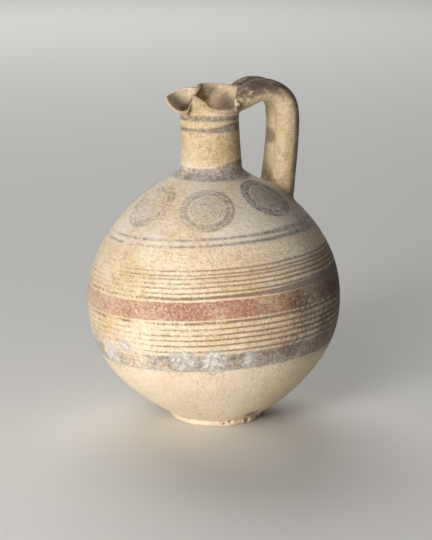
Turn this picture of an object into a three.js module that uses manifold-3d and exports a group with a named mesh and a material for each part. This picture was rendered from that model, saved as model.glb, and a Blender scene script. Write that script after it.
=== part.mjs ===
// A painted clay wine jug with a pinched mouth and a double roll handle, in millimetres, Z up.
// The centre of the foot's underside is the origin. The handle points to +X and the spout to -X.
// The side of the mouth that dips lower is the near side, towards -Y.
import * as THREE from 'three';
import { mergeVertices } from 'three/addons/utils/BufferGeometryUtils.js';
import Module from 'manifold-3d';

// Foot: a low disc with a rounded lower edge
const FOOT_RADIUS = 35.2;
const FOOT_HEIGHT = 4.4;
const FOOT_EDGE = 2.2;

// Body: two rounds that meet at the widest ring
const BODY_RADIUS = 95.0;
const WIDEST_HEIGHT = 92.4;
const BASE_POWER = 2.23;
const BASE_TAPER = 1.2;
const CROWN_RISE = 100.0;
const CROWN_POWER = 2.0;
const CROWN_TAPER = 1.58;

// Neck
const NECK_RADIUS = 22.9;
const NECK_TOP_RADIUS = 21.8;
const NECK_LENGTH = 33.6;
const NECK_FILLET = 11.0;

// Mouth: how far each part of the rim stands out from the neck and above the neck's top
const MOUTH_FLARE = 1.5;
const BACK_FLARE = 2.2;
const BACK_RISE = 21.1;
const LOBE_FLARE = 4.7;
const FAR_RISE = 22.6;
const NEAR_RISE = 8.0;
const SPOUT_LENGTH = 12.9;
const SPOUT_HALF_WIDTH = 11.5;
const SPOUT_RISE = 14.8;
const SPOUT_NEAR_RISE = 6.2;
const FAR_FOLD_FORWARD = 7.4;
const FAR_FOLD_SIDE = 6.8;
const NEAR_FOLD_FORWARD = 16.9;
const NEAR_FOLD_SIDE = 6.3;
const NEAR_FOLD_RISE = 18.6;

// Walls
const LIP_WALL = 3.0;
const LIP_CROWN = 0.9;
const NECK_WALL = 4.0;
const BELLY_WALL = 5.2;
const BASE_WALL = 6.4;
const FLOOR_THICKNESS = 9.2;

// Handle: two rolls side by side, from the back of the rim over a crest and down to the shoulder
const ROLL_THICKNESS = 18.2;
const ROLL_SPACING = 17.6;
const ROLL_START_THICKNESS = 16.2;
const ROLL_START_SPACING = 15.2;
const ROLL_BEND_THICKNESS = 16.2;
const ROLL_FOOT_THICKNESS = 20.4;
const ROLL_FOOT_SPACING = 20.4;
const FINGER_GAP = 27.7;
const CREST_RISE = 20.7;

// Hand made flaws: body and neck lean to the spout, and the body's rings rise towards one bearing
const LEAN_DEG = 1.2;
const NECK_LEAN_DEG = 2.6;
const SLOPE_DEG = 1.8;
const SLOPE_BEARING_DEG = -22;
const SLOPE_RUN = 34;

// Finish
const CLAY_COLOUR = 0xc2ad87;
const CLAY_ROUGHNESS = 0.86;
const CLAY_METALNESS = 0;

// Fineness of the facets
const COLUMNS_PER_STATION = 3;
const BASE_ROWS = 7;
const CROWN_ROWS = 8;
const FILLET_ROWS = 4;
const NECK_ROWS = 3;
const MOUTH_ROWS = 6;
const LIP_SOFTENING_ROUNDS = 11;
const FOOT_ROWS = 2;
const FLOOR_ROWS = 2;
const ROLL_SIDES = 16;
const ROLL_ROWS = 22;

// Sizes that follow from the ones above
const NECK_FOOT = WIDEST_HEIGHT + CROWN_RISE;
const NECK_TOP = NECK_FOOT + NECK_LENGTH;
const BACK_REACH = NECK_TOP_RADIUS + BACK_FLARE;
const LOBE_REACH = NECK_TOP_RADIUS + LOBE_FLARE;
const SPOUT_REACH = NECK_TOP_RADIUS + SPOUT_LENGTH;
const HANDLE_REACH = NECK_TOP_RADIUS + FINGER_GAP + ROLL_THICKNESS / 2;
const LEAN = Math.tan(THREE.MathUtils.degToRad(LEAN_DEG));
const NECK_LEAN = Math.tan(THREE.MathUtils.degToRad(NECK_LEAN_DEG));
const SLOPE = Math.tan(THREE.MathUtils.degToRad(SLOPE_DEG));
const SLOPE_BEARING = THREE.MathUtils.degToRad(SLOPE_BEARING_DEG);
const QUARTER_TURN = Math.PI / 2;

const { lerp, smoothstep, clamp, degToRad } = THREE.MathUtils;

// Depth at which the lower round would close, so that it meets the foot at the foot's radius
const FOOT_SHARE = (1 - (FOOT_RADIUS / BODY_RADIUS) ** BASE_TAPER) ** (1 / BASE_POWER);
const BASE_DEPTH = (WIDEST_HEIGHT - FOOT_HEIGHT) / FOOT_SHARE;

// Radius of the lower round: R times (1 - t^power)^(1/taper), t being the share of the way down
function baseRadius(height) {
  const t = clamp((WIDEST_HEIGHT - height) / BASE_DEPTH, 0, 1);
  return BODY_RADIUS * (1 - t ** BASE_POWER) ** (1 / BASE_TAPER);
}

// Radius of the upper round, by the same formula upwards
function crownRadius(height) {
  const t = clamp((height - WIDEST_HEIGHT) / CROWN_RISE, 0, 1);
  return BODY_RADIUS * (1 - t ** CROWN_POWER) ** (1 / CROWN_TAPER);
}

// Height at which the upper round has a given radius
function crownHeight(radius) {
  const rest = 1 - clamp(radius / BODY_RADIUS, 0, 1) ** CROWN_TAPER;
  return WIDEST_HEIGHT + CROWN_RISE * rest ** (1 / CROWN_POWER);
}

// The larger of two radii, rounded over where they come within the fillet of each other
function filleted(a, b) {
  const near = Math.max(NECK_FILLET - Math.abs(a - b), 0) / NECK_FILLET;
  return Math.max(a, b) + near * near * NECK_FILLET / 4;
}

function neckRadius(height) {
  return lerp(NECK_RADIUS, NECK_TOP_RADIUS, clamp((height - NECK_FOOT) / NECK_LENGTH, 0, 1));
}

function outerRadius(height) {
  if (height < WIDEST_HEIGHT) {
    return baseRadius(height);
  }
  return filleted(crownRadius(height), neckRadius(height));
}

// Heights in even steps of angle round a quarter turn, from the widest ring to a given height
function roundHeights(from, to, rows) {
  const span = to - from;
  return Array.from({ length: rows }, (_, i) => from + span * Math.sin(QUARTER_TURN * (i + 1) / rows));
}

function evenHeights(from, to, rows) {
  return Array.from({ length: rows }, (_, i) => lerp(from, to, (i + 1) / rows));
}

function outlineHeights() {
  const base = [WIDEST_HEIGHT, ...roundHeights(WIDEST_HEIGHT, FOOT_HEIGHT, BASE_ROWS)].reverse();
  const filletStart = crownHeight(NECK_RADIUS + NECK_FILLET);
  const crown = roundHeights(WIDEST_HEIGHT, filletStart, CROWN_ROWS);
  const fillet = evenHeights(filletStart, NECK_FOOT, FILLET_ROWS);
  const neck = evenHeights(NECK_FOOT, NECK_TOP, NECK_ROWS).slice(0, -1);
  return [...base, ...crown, ...fillet, ...neck];
}

// The rim part by part. Each point has its bearing on the neck below, then its shares of the
// part's reach along X, of its width along Y and of its rise above the neck's top.
const RIM_PARTS = {
  back: { reach: BACK_REACH, width: LOBE_REACH, rise: BACK_RISE, points: [[0, 1, 0, 1]] },
  farLobe: {
    reach: BACK_REACH,
    width: LOBE_REACH,
    rise: FAR_RISE,
    points: [[28, 0.875, 0.44, 0.98], [58, 0.56, 0.82, 1], [84, 0.19, 1, 1], [104, -0.03, 0.86, 1]],
  },
  farFold: {
    reach: -FAR_FOLD_FORWARD,
    width: FAR_FOLD_SIDE,
    rise: FAR_RISE,
    points: [[124, 0.42, 2.1, 1], [144, 1, 1, 1]],
  },
  spoutFarSide: {
    reach: -SPOUT_REACH,
    width: SPOUT_HALF_WIDTH,
    rise: FAR_RISE,
    points: [[153, 0.355, 0.85, 0.98], [160, 0.52, 1, 0.92], [168, 0.7, 0.9, 0.8]],
  },
  spoutTip: {
    reach: -SPOUT_REACH,
    width: SPOUT_HALF_WIDTH,
    rise: SPOUT_RISE,
    points: [[175, 0.88, 0.52, 1.13], [180, 1, -0.05, 1], [185, 0.963, -0.39, 0.71]],
  },
  spoutNearSide: {
    reach: -SPOUT_REACH,
    width: -SPOUT_HALF_WIDTH,
    rise: SPOUT_NEAR_RISE,
    points: [[190, 0.885, 0.72, 1.24], [195, 0.767, 0.95, 1], [202, 0.595, 1, 1.12]],
  },
  nearFold: {
    reach: -NEAR_FOLD_FORWARD,
    width: -NEAR_FOLD_SIDE,
    rise: NEAR_FOLD_RISE,
    points: [[209, 0.955, 0.95, 0.74], [216, 1, 1.42, 1], [224, 0.72, 2.2, 0.845]],
  },
  nearLobe: {
    reach: BACK_REACH,
    width: -LOBE_REACH,
    rise: NEAR_RISE,
    points: [[242, -0.325, 0.83, 1.28], [268, 0.1, 1, 1], [292, 0.47, 0.93, 0.98], [312, 0.67, 0.74, 1.12]],
  },
  backNear: {
    reach: BACK_REACH,
    width: -LOBE_REACH,
    rise: BACK_RISE,
    points: [[336, 0.8, 0.43, 0.93]],
  },
};

const RIM = Object.values(RIM_PARTS).flatMap((part) => part.points.map(([bearing, x, y, z]) => (
  { bearing, point: new THREE.Vector3(part.reach * x, part.width * y, part.rise * z) }
)));

// The handle's centre line: share of the way from the back of the rim out to the handle's reach,
// then share of the crest's rise above the neck's top
const HANDLE_TOP = [
  { out: -0.37, up: 0.48 },
  { out: -0.125, up: 0.66 },
  { out: 0.057, up: 0.81 },
  { out: 0.29, up: 0.985 },
  { out: 0.493, up: 1.0 },
  { out: 0.706, up: 0.905 },
  { out: 0.87, up: 0.7 },
  { out: 0.965, up: 0.42 },
  { out: 1.0, up: 0.05 },
];

// Below that: share of the way out, then share of the way up from the shoulder to the neck's top
const HANDLE_DROP = [
  { out: 1.0, up: 0.8 },
  { out: 0.97, up: 0.545 },
  { out: 0.93, up: 0.33 },
  { out: 0.89, up: 0.15 },
  { out: 0.83, up: -0.02 },
  { out: 0.78, up: -0.16 },
];

// Where along the handle its thickness changes, as shares of its length
const ROLL_START_END = 0.2;
const ROLL_BEND_AT = 0.3;
const ROLL_BEND_SPAN = 0.14;
const ROLL_FOOT_START = 0.75;

function axisAt(height) {
  return -LEAN * Math.min(height, NECK_FOOT) - NECK_LEAN * Math.max(height - NECK_FOOT, 0);
}

function curveThrough(points, closed) {
  return new THREE.CatmullRomCurve3(points, closed, 'centripetal');
}

// Bearing on the neck of each column of facets, evenly spread between the rim's stations
function neckBearings() {
  return RIM.flatMap((station, i) => {
    const end = i + 1 < RIM.length ? RIM[i + 1].bearing : RIM[0].bearing + 360;
    return Array.from({ length: COLUMNS_PER_STATION }, (_, k) => (
      degToRad(lerp(station.bearing, end, k / COLUMNS_PER_STATION))
    ));
  });
}

const NECK_BEARINGS = neckBearings();
const COLUMNS = NECK_BEARINGS.length;

// Columns are even round the body and drift to the rim's spacing by the neck's foot
function bearingAt(column, height) {
  const even = 2 * Math.PI * column / COLUMNS;
  return lerp(even, NECK_BEARINGS[column], smoothstep(height, WIDEST_HEIGHT, NECK_FOOT));
}

function slopeAt(height) {
  const rise = smoothstep(height, FOOT_HEIGHT, FOOT_HEIGHT + SLOPE_RUN);
  const fade = smoothstep(height, NECK_FOOT - SLOPE_RUN, NECK_FOOT);
  return SLOPE * rise * (1 - fade);
}

function ring(radius, height) {
  return Array.from({ length: COLUMNS }, (_, column) => {
    const bearing = bearingAt(column, height);
    const x = axisAt(height) + radius * Math.cos(bearing);
    const lift = slopeAt(height) * radius * Math.cos(bearing - SLOPE_BEARING);
    return new THREE.Vector3(x, radius * Math.sin(bearing), height + lift);
  });
}

function footRings() {
  const edge = Array.from({ length: FOOT_ROWS + 1 }, (_, i) => {
    const angle = QUARTER_TURN * i / FOOT_ROWS;
    return ring(FOOT_RADIUS - FOOT_EDGE * (1 - Math.sin(angle)), FOOT_EDGE * (1 - Math.cos(angle)));
  });
  const underside = ring((FOOT_RADIUS - FOOT_EDGE) / 2, 0);
  return [underside, ...edge];
}

// The mouth opens from the neck's top ring to the rim, slowly at first and then faster
function mouthRings() {
  const start = ring(NECK_TOP_RADIUS, NECK_TOP);
  const edge = curveThrough(RIM.map((station) => station.point), true);
  const rim = start.map((_, column) => {
    const p = edge.getPoint(column / COLUMNS);
    return new THREE.Vector3(p.x + axisAt(NECK_TOP), p.y, NECK_TOP + p.z);
  });
  return Array.from({ length: MOUTH_ROWS + 1 }, (_, row) => {
    const up = row / MOUTH_ROWS;
    const out = up ** MOUTH_FLARE;
    return start.map((p, column) => new THREE.Vector3(
      lerp(p.x, rim[column].x, out),
      lerp(p.y, rim[column].y, out),
      lerp(p.z, rim[column].z, up),
    ));
  });
}

function outsideRings() {
  const body = outlineHeights().map((height) => ring(outerRadius(height), height));
  return [...body, ...mouthRings()];
}

function wallAt(height) {
  if (height < WIDEST_HEIGHT) {
    return lerp(BASE_WALL, BELLY_WALL, clamp(height / WIDEST_HEIGHT, 0, 1));
  }
  return lerp(BELLY_WALL, NECK_WALL, clamp((height - WIDEST_HEIGHT) / CROWN_RISE, 0, 1));
}

// Outward unit normal of a grid of rings at one point, from its four neighbours
function gridNormal(rings, row, column) {
  const below = rings[Math.max(row - 1, 0)][column];
  const above = rings[Math.min(row + 1, rings.length - 1)][column];
  const before = rings[row][(column + COLUMNS - 1) % COLUMNS];
  const after = rings[row][(column + 1) % COLUMNS];
  const up = new THREE.Vector3().subVectors(above, below);
  return new THREE.Vector3().subVectors(after, before).cross(up).normalize();
}

// A ring's normals averaged over their neighbours, so that the inside runs smoothly past a fold
function softNormals(normals) {
  let soft = normals;
  for (let round = 0; round < LIP_SOFTENING_ROUNDS; round += 1) {
    const last = soft;
    soft = last.map((normal, column) => normal.clone().multiplyScalar(2)
      .add(last[(column + COLUMNS - 1) % COLUMNS])
      .add(last[(column + 1) % COLUMNS])
      .normalize());
  }
  return soft;
}

// The outside moved inwards by a share of the wall, from the rim down to just above the floor.
// Below the neck every other ring is left out, because the inside is plain there.
function insideRings(outside, share) {
  const neckRow = BASE_ROWS + CROWN_ROWS;
  const rimRow = outside.length - 1;
  const rings = outside.map((points, row) => {
    const lip = clamp((row - rimRow + MOUTH_ROWS) / MOUTH_ROWS, 0, 1);
    const normals = points.map((_, column) => gridNormal(outside, row, column));
    const soft = softNormals(normals);
    return points.map((p, column) => {
      const wall = lerp(wallAt(p.z), LIP_WALL, lip);
      const inward = normals[column].clone().lerp(soft[column], lip).normalize();
      return p.clone().addScaledVector(inward, -wall * share);
    });
  });
  const kept = rings.filter((points, row) => {
    const lowest = Math.min(...points.map((p) => p.z));
    return lowest > FLOOR_THICKNESS + BASE_WALL && (row >= neckRow || row % 2 === 0);
  });
  return kept.reverse();
}

// The floor dips from the lowest inside ring to the floor's thickness at the middle
function floorRings(lowest) {
  return Array.from({ length: FLOOR_ROWS }, (_, row) => {
    const share = 1 - (row + 1) / (FLOOR_ROWS + 1);
    return lowest.map((p) => new THREE.Vector3(
      lerp(axisAt(FLOOR_THICKNESS), p.x, share),
      p.y * share,
      lerp(FLOOR_THICKNESS, p.z, share * share),
    ));
  });
}

// A closed mesh from rings that start at one point and end in another
function closedGrid(first, rings, last) {
  const columns = rings[0].length;
  const points = [first, ...rings.flat(), last];
  const at = (row, column) => 1 + row * columns + (column % columns);
  const index = [];
  for (let column = 0; column < columns; column += 1) {
    index.push(0, at(0, column + 1), at(0, column));
    index.push(points.length - 1, at(rings.length - 1, column), at(rings.length - 1, column + 1));
    for (let row = 0; row + 1 < rings.length; row += 1) {
      index.push(at(row, column), at(row, column + 1), at(row + 1, column + 1));
      index.push(at(row, column), at(row + 1, column + 1), at(row + 1, column));
    }
  }
  const geometry = new THREE.BufferGeometry().setFromPoints(points);
  geometry.setIndex(index);
  return geometry;
}

function shellGeometry() {
  const outside = outsideRings();
  const inside = insideRings(outside, 1);
  const crown = outside[outside.length - 1].map((p, column) => {
    const middle = p.clone().lerp(inside[0][column], 0.5);
    return middle.setZ(middle.z + LIP_CROWN);
  });
  const floor = floorRings(inside[inside.length - 1]);
  const middle = new THREE.Vector3(axisAt(FLOOR_THICKNESS), 0, FLOOR_THICKNESS);
  const underside = new THREE.Vector3(0, 0, 0);
  return closedGrid(underside, [...footRings(), ...outside, crown, ...inside, ...floor], middle);
}

// Everything inside the middle of the wall, which cuts off the rolls' buried ends
function hollowGeometry() {
  const rings = insideRings(outsideRings(), 0.5).reverse();
  const floor = new THREE.Vector3(axisAt(FLOOR_THICKNESS), 0, FLOOR_THICKNESS);
  const lid = new THREE.Vector3(axisAt(NECK_TOP), 0, NECK_TOP + FAR_RISE + ROLL_START_THICKNESS);
  return closedGrid(floor, rings, lid);
}

function handlePath() {
  const shoulder = crownHeight(HANDLE_REACH);
  const place = (out, height) => (
    new THREE.Vector3(axisAt(NECK_TOP) + lerp(BACK_REACH, HANDLE_REACH, out), 0, height)
  );
  const top = HANDLE_TOP.map((s) => place(s.out, NECK_TOP + CREST_RISE * s.up));
  const drop = HANDLE_DROP.map((s) => place(s.out, lerp(shoulder, NECK_TOP, s.up)));
  return curveThrough([...top, ...drop], false);
}

// Thickness along the handle: thin at the rim, pressed flatter in the bend, wide at the shoulder
function rollThickness(t) {
  const start = 1 - smoothstep(t, 0, ROLL_START_END);
  const bend = clamp(1 - Math.abs(t - ROLL_BEND_AT) / ROLL_BEND_SPAN, 0, 1);
  const foot = smoothstep(t, ROLL_FOOT_START, 1);
  const thinned = lerp(lerp(ROLL_THICKNESS, ROLL_BEND_THICKNESS, bend), ROLL_START_THICKNESS, start);
  return lerp(thinned, ROLL_FOOT_THICKNESS, foot);
}

function rollSpacing(t) {
  const start = 1 - smoothstep(t, 0, ROLL_START_END);
  const foot = smoothstep(t, ROLL_FOOT_START, 1);
  return lerp(lerp(ROLL_SPACING, ROLL_START_SPACING, start), ROLL_FOOT_SPACING, foot);
}

// One roll: ovals carried along the handle's path, a little to one side of it
function rollGeometry(side) {
  const path = handlePath();
  const across = new THREE.Vector3(0, 1, 0);
  const centreAt = (t) => path.getPointAt(t).addScaledVector(across, side * rollSpacing(t) / 2);
  const rings = Array.from({ length: ROLL_ROWS + 1 }, (_, row) => {
    const t = row / ROLL_ROWS;
    const out = new THREE.Vector3().crossVectors(across, path.getTangentAt(t)).normalize();
    const width = rollSpacing(t) + (ROLL_THICKNESS - ROLL_SPACING);
    return Array.from({ length: ROLL_SIDES }, (__, k) => {
      const angle = 2 * Math.PI * k / ROLL_SIDES;
      return centreAt(t)
        .addScaledVector(out, Math.cos(angle) * rollThickness(t) / 2)
        .addScaledVector(across, Math.sin(angle) * width / 2);
    });
  });
  return closedGrid(centreAt(0), rings, centreAt(1));
}

const wasm = await Module();
wasm.setup();

function toManifold(geometry) {
  geometry.deleteAttribute('normal');
  geometry.deleteAttribute('uv');
  const merged = mergeVertices(geometry);
  return new wasm.Manifold(new wasm.Mesh({
    numProp: 3,
    vertProperties: Float32Array.from(merged.attributes.position.array),
    triVerts: Uint32Array.from(merged.index.array),
  }));
}

function toGeometry(solid) {
  const mesh = solid.getMesh();
  const geometry = new THREE.BufferGeometry();
  geometry.setAttribute('position', new THREE.Float32BufferAttribute(mesh.vertProperties, 3));
  geometry.setIndex(Array.from(mesh.triVerts));
  geometry.computeVertexNormals();
  return geometry;
}

// The jug: shell and rolls joined wet into one piece of clay
function jugSolid() {
  const hollow = toManifold(hollowGeometry());
  const rolls = [-1, 1].map((side) => toManifold(rollGeometry(side)).subtract(hollow));
  return rolls.reduce((jug, roll) => jug.add(roll), toManifold(shellGeometry()));
}

const clay = new THREE.MeshStandardMaterial({
  color: CLAY_COLOUR,
  roughness: CLAY_ROUGHNESS,
  metalness: CLAY_METALNESS,
});

const group = new THREE.Group();
const oinochoe = new THREE.Mesh(toGeometry(jugSolid()), clay);
oinochoe.name = 'oinochoe';
group.add(oinochoe);

export default group;
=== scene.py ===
"""A painted clay wine jug with a pinched mouth and a double roll handle.

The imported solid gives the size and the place. Here the same form is laid out finely, weathered,
fired, painted and lit. Sizes in the classes are millimetres, and meshes are made in metres.
"""
import logging
import math
from dataclasses import dataclass
from enum import Enum
from typing import NamedTuple

import bpy
import numpy as np
from mathutils import Matrix, Vector


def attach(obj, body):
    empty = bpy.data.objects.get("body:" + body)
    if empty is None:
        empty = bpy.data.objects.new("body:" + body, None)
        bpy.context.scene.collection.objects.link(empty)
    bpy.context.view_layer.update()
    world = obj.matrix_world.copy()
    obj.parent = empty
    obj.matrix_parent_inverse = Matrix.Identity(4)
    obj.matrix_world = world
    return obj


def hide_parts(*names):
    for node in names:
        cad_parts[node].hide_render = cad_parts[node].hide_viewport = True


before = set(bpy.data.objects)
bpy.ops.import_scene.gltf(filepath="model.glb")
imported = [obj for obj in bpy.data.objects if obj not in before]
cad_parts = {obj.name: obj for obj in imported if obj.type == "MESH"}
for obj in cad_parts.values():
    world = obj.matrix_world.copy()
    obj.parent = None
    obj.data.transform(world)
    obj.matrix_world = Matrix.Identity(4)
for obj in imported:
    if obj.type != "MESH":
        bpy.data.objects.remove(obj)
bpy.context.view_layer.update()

NODE = "oinochoe"
BODY = "root"
MM = 0.001
Pair = tuple[float, float]
Triple = tuple[float, float, float]
Colour = tuple[float, float, float, float]
Socket = bpy.types.NodeSocket
Tree = bpy.types.NodeTree

QUARTER_TURN = math.pi / 2
HALF_TURN = math.pi
FULL_TURN = 2 * math.pi
FULL_CIRCLE = 360.0
SIDEWAYS = np.array([0.0, 1.0, 0.0])

# Numbers of the lattice noise: odd multipliers for x, y, z and the seed, then shifts, a multiplier and a mask
LATTICE_OFFSET = 1000.0
HASH_AXES = (np.uint64(73856093), np.uint64(19349663), np.uint64(83492791))
HASH_SEED = 2654435761
HASH_SHIFTS = (np.uint64(13), np.uint64(16))
HASH_MIX = np.uint64(1274126177)
HASH_MASK = np.uint64(0xFFFFFF)
HASH_HALF = 0x7FFFFF

# Numbers of the gamma curve that screen colours follow
FULL_SHADE = 255
GAMMA_TOE = 10
GAMMA_TOE_SLOPE = 12.92
GAMMA_OFFSET = 0.055
GAMMA_POWER = 2.4

log = logging.getLogger("jug")


class Zone(Enum):
    """The part of the surface that a face belongs to."""

    OUTSIDE = 0
    INSIDE = 1
    HANDLE = 2


def smooth_step(value: np.ndarray, low: float, high: float) -> np.ndarray:
    """Rise from 0 to 1 between two values, by 3t^2 - 2t^3.

    Args:
        value: The values to map.
        low: Where the rise starts.
        high: Where the rise ends.

    Returns:
        The mapped values, 0 to 1.
    """
    t = np.clip((value - low) / (high - low), 0.0, 1.0)
    return t * t * (3.0 - 2.0 * t)


def mix(a: np.ndarray, b: np.ndarray, share: np.ndarray) -> np.ndarray:
    """Go a share of the way from a to b, by a + (b - a) * share."""
    return a + (b - a) * share


def lattice_noise(points: np.ndarray, size: float, seed: int) -> np.ndarray:
    """Smooth random values from hashed corners of a cubic lattice, blended by 3t^2 - 2t^3.

    Args:
        points: Positions in millimetres, shape (..., 3).
        size: Edge of a lattice cube in millimetres.
        seed: Picks one of many independent noises.

    Returns:
        One value for each point, between -1 and 1.
    """
    scaled = points / size + LATTICE_OFFSET
    cell = np.floor(scaled).astype(np.uint64)
    inside = scaled - np.floor(scaled)
    inside = inside * inside * (3.0 - 2.0 * inside)
    total = np.zeros(points.shape[:-1])
    for corner in np.ndindex(2, 2, 2):
        at = cell + np.array(corner, dtype=np.uint64)
        code = at[..., 0] * HASH_AXES[0] ^ at[..., 1] * HASH_AXES[1] ^ at[..., 2] * HASH_AXES[2]
        code = code ^ np.uint64(seed * HASH_SEED)
        code = (code ^ (code >> HASH_SHIFTS[0])) * HASH_MIX
        code = (code ^ (code >> HASH_SHIFTS[1])) & HASH_MASK
        weight = np.prod(np.where(np.array(corner) == 1, inside, 1.0 - inside), axis=-1)
        total += weight * (code.astype(float) / HASH_HALF - 1.0)
    return total


def curve_through(stations: np.ndarray, where: np.ndarray, closed: bool) -> np.ndarray:
    """Points on a centripetal Catmull-Rom curve, whose knots are the square roots of the chords.

    Args:
        stations: The points that the curve passes through, shape (n, 3).
        where: Places on the curve, counted in stations.
        closed: Whether the last station joins the first.

    Returns:
        The points, shape (len(where), 3).
    """
    count = len(stations)
    if closed:
        ring = np.concatenate([stations[-1:], stations, stations[:2]])
    else:
        head = 2 * stations[:1] - stations[1:2]
        tail = 2 * stations[-1:] - stations[-2:-1]
        ring = np.concatenate([head, stations, tail])
    last = count - 1 if closed else count - 2
    low = np.clip(np.floor(where).astype(int), 0, last)
    t = (where - low)[:, None]
    p0, p1, p2, p3 = (ring[low + k] for k in range(4))
    d0, d1, d2 = (np.linalg.norm(b - a, axis=1)[:, None] ** 0.5 for a, b in ((p0, p1), (p1, p2), (p2, p3)))
    m1 = d1 * ((p1 - p0) / d0 - (p2 - p0) / (d0 + d1) + (p2 - p1) / d1)
    m2 = d1 * ((p2 - p1) / d1 - (p3 - p1) / (d1 + d2) + (p3 - p2) / d2)
    cube = (2 * p1 - 2 * p2 + m1 + m2) * t ** 3
    square = (3 * p2 - 3 * p1 - 2 * m1 - m2) * t ** 2
    return cube + square + m1 * t + p1


def evenly_along(line: np.ndarray, step: float) -> np.ndarray:
    """Resample a polyline so that its points lie one step apart along it.

    Args:
        line: Points of the polyline, shape (n, k).
        step: Distance between the new points.

    Returns:
        The new points, both ends included.
    """
    length = np.concatenate([[0.0], np.cumsum(np.linalg.norm(np.diff(line, axis=0), axis=1))])
    where = np.linspace(0.0, length[-1], max(2, round(length[-1] / step) + 1))
    return np.stack([np.interp(where, length, line[:, k]) for k in range(line.shape[1])], axis=1)


def closed_grid(first: np.ndarray, rings: np.ndarray, last: np.ndarray) -> tuple[np.ndarray, list]:
    """Close a stack of rings with a fan at each end.

    Args:
        first: The point that closes the first ring.
        rings: The rings, shape (rows, columns, 3).
        last: The point that closes the last ring.

    Returns:
        The points, and the faces as lists of point numbers.
    """
    rows, columns = rings.shape[:2]
    points = np.concatenate([first[None], rings.reshape(-1, 3), last[None]])
    number = 1 + np.arange(rows * columns).reshape(rows, columns)
    after = np.roll(number, -1, axis=1)
    quads = np.stack([number[:-1], after[:-1], after[1:], number[1:]], axis=-1).reshape(-1, 4)
    start = np.stack([np.zeros(columns, int), after[0], number[0]], axis=-1)
    end = np.stack([np.full(columns, len(points) - 1), number[-1], after[-1]], axis=-1)
    return points, start.tolist() + quads.tolist() + end.tolist()


def grid_normals(rings: np.ndarray) -> np.ndarray:
    """Outward unit normals of a stack of rings, by the cross product of both neighbour differences.

    Args:
        rings: The rings, shape (rows, columns, 3).

    Returns:
        The normals, of the same shape.
    """
    along = np.roll(rings, -1, axis=1) - np.roll(rings, 1, axis=1)
    up = np.gradient(rings, axis=0)
    normal = np.cross(along, up)
    return normal / np.linalg.norm(normal, axis=-1, keepdims=True)


def soften_round(values: np.ndarray, spread: float) -> np.ndarray:
    """Blur values round each ring with a bell curve, by the Fourier transform.

    Args:
        values: Shape (rows, columns, k).
        spread: Width of the bell curve in columns.

    Returns:
        The blurred values, of the same shape.
    """
    turns = np.fft.fftfreq(values.shape[1])
    bell = np.exp(-2.0 * (math.pi * turns * spread) ** 2)[None, :, None]
    return np.fft.ifft(np.fft.fft(values, axis=1) * bell, axis=1).real


def make_object(name: str, points: np.ndarray, faces: list,
                zones: np.ndarray | None = None) -> bpy.types.Object:
    """Make a mesh object from points in millimetres.

    Args:
        name: Name of the object and its mesh.
        points: Shape (n, 3).
        faces: Lists of point numbers.
        zones: Material index of each face, if it has zones.

    Returns:
        The object, linked to the scene.
    """
    mesh = bpy.data.meshes.new(name)
    mesh.from_pydata((points * MM).tolist(), [], faces)
    for _ in Zone:
        mesh.materials.append(None)
    if zones is not None:
        mesh.polygons.foreach_set("material_index", zones.astype(np.int32))
    mesh.update()
    thing = bpy.data.objects.new(name, mesh)
    bpy.context.scene.collection.objects.link(thing)
    return thing


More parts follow.
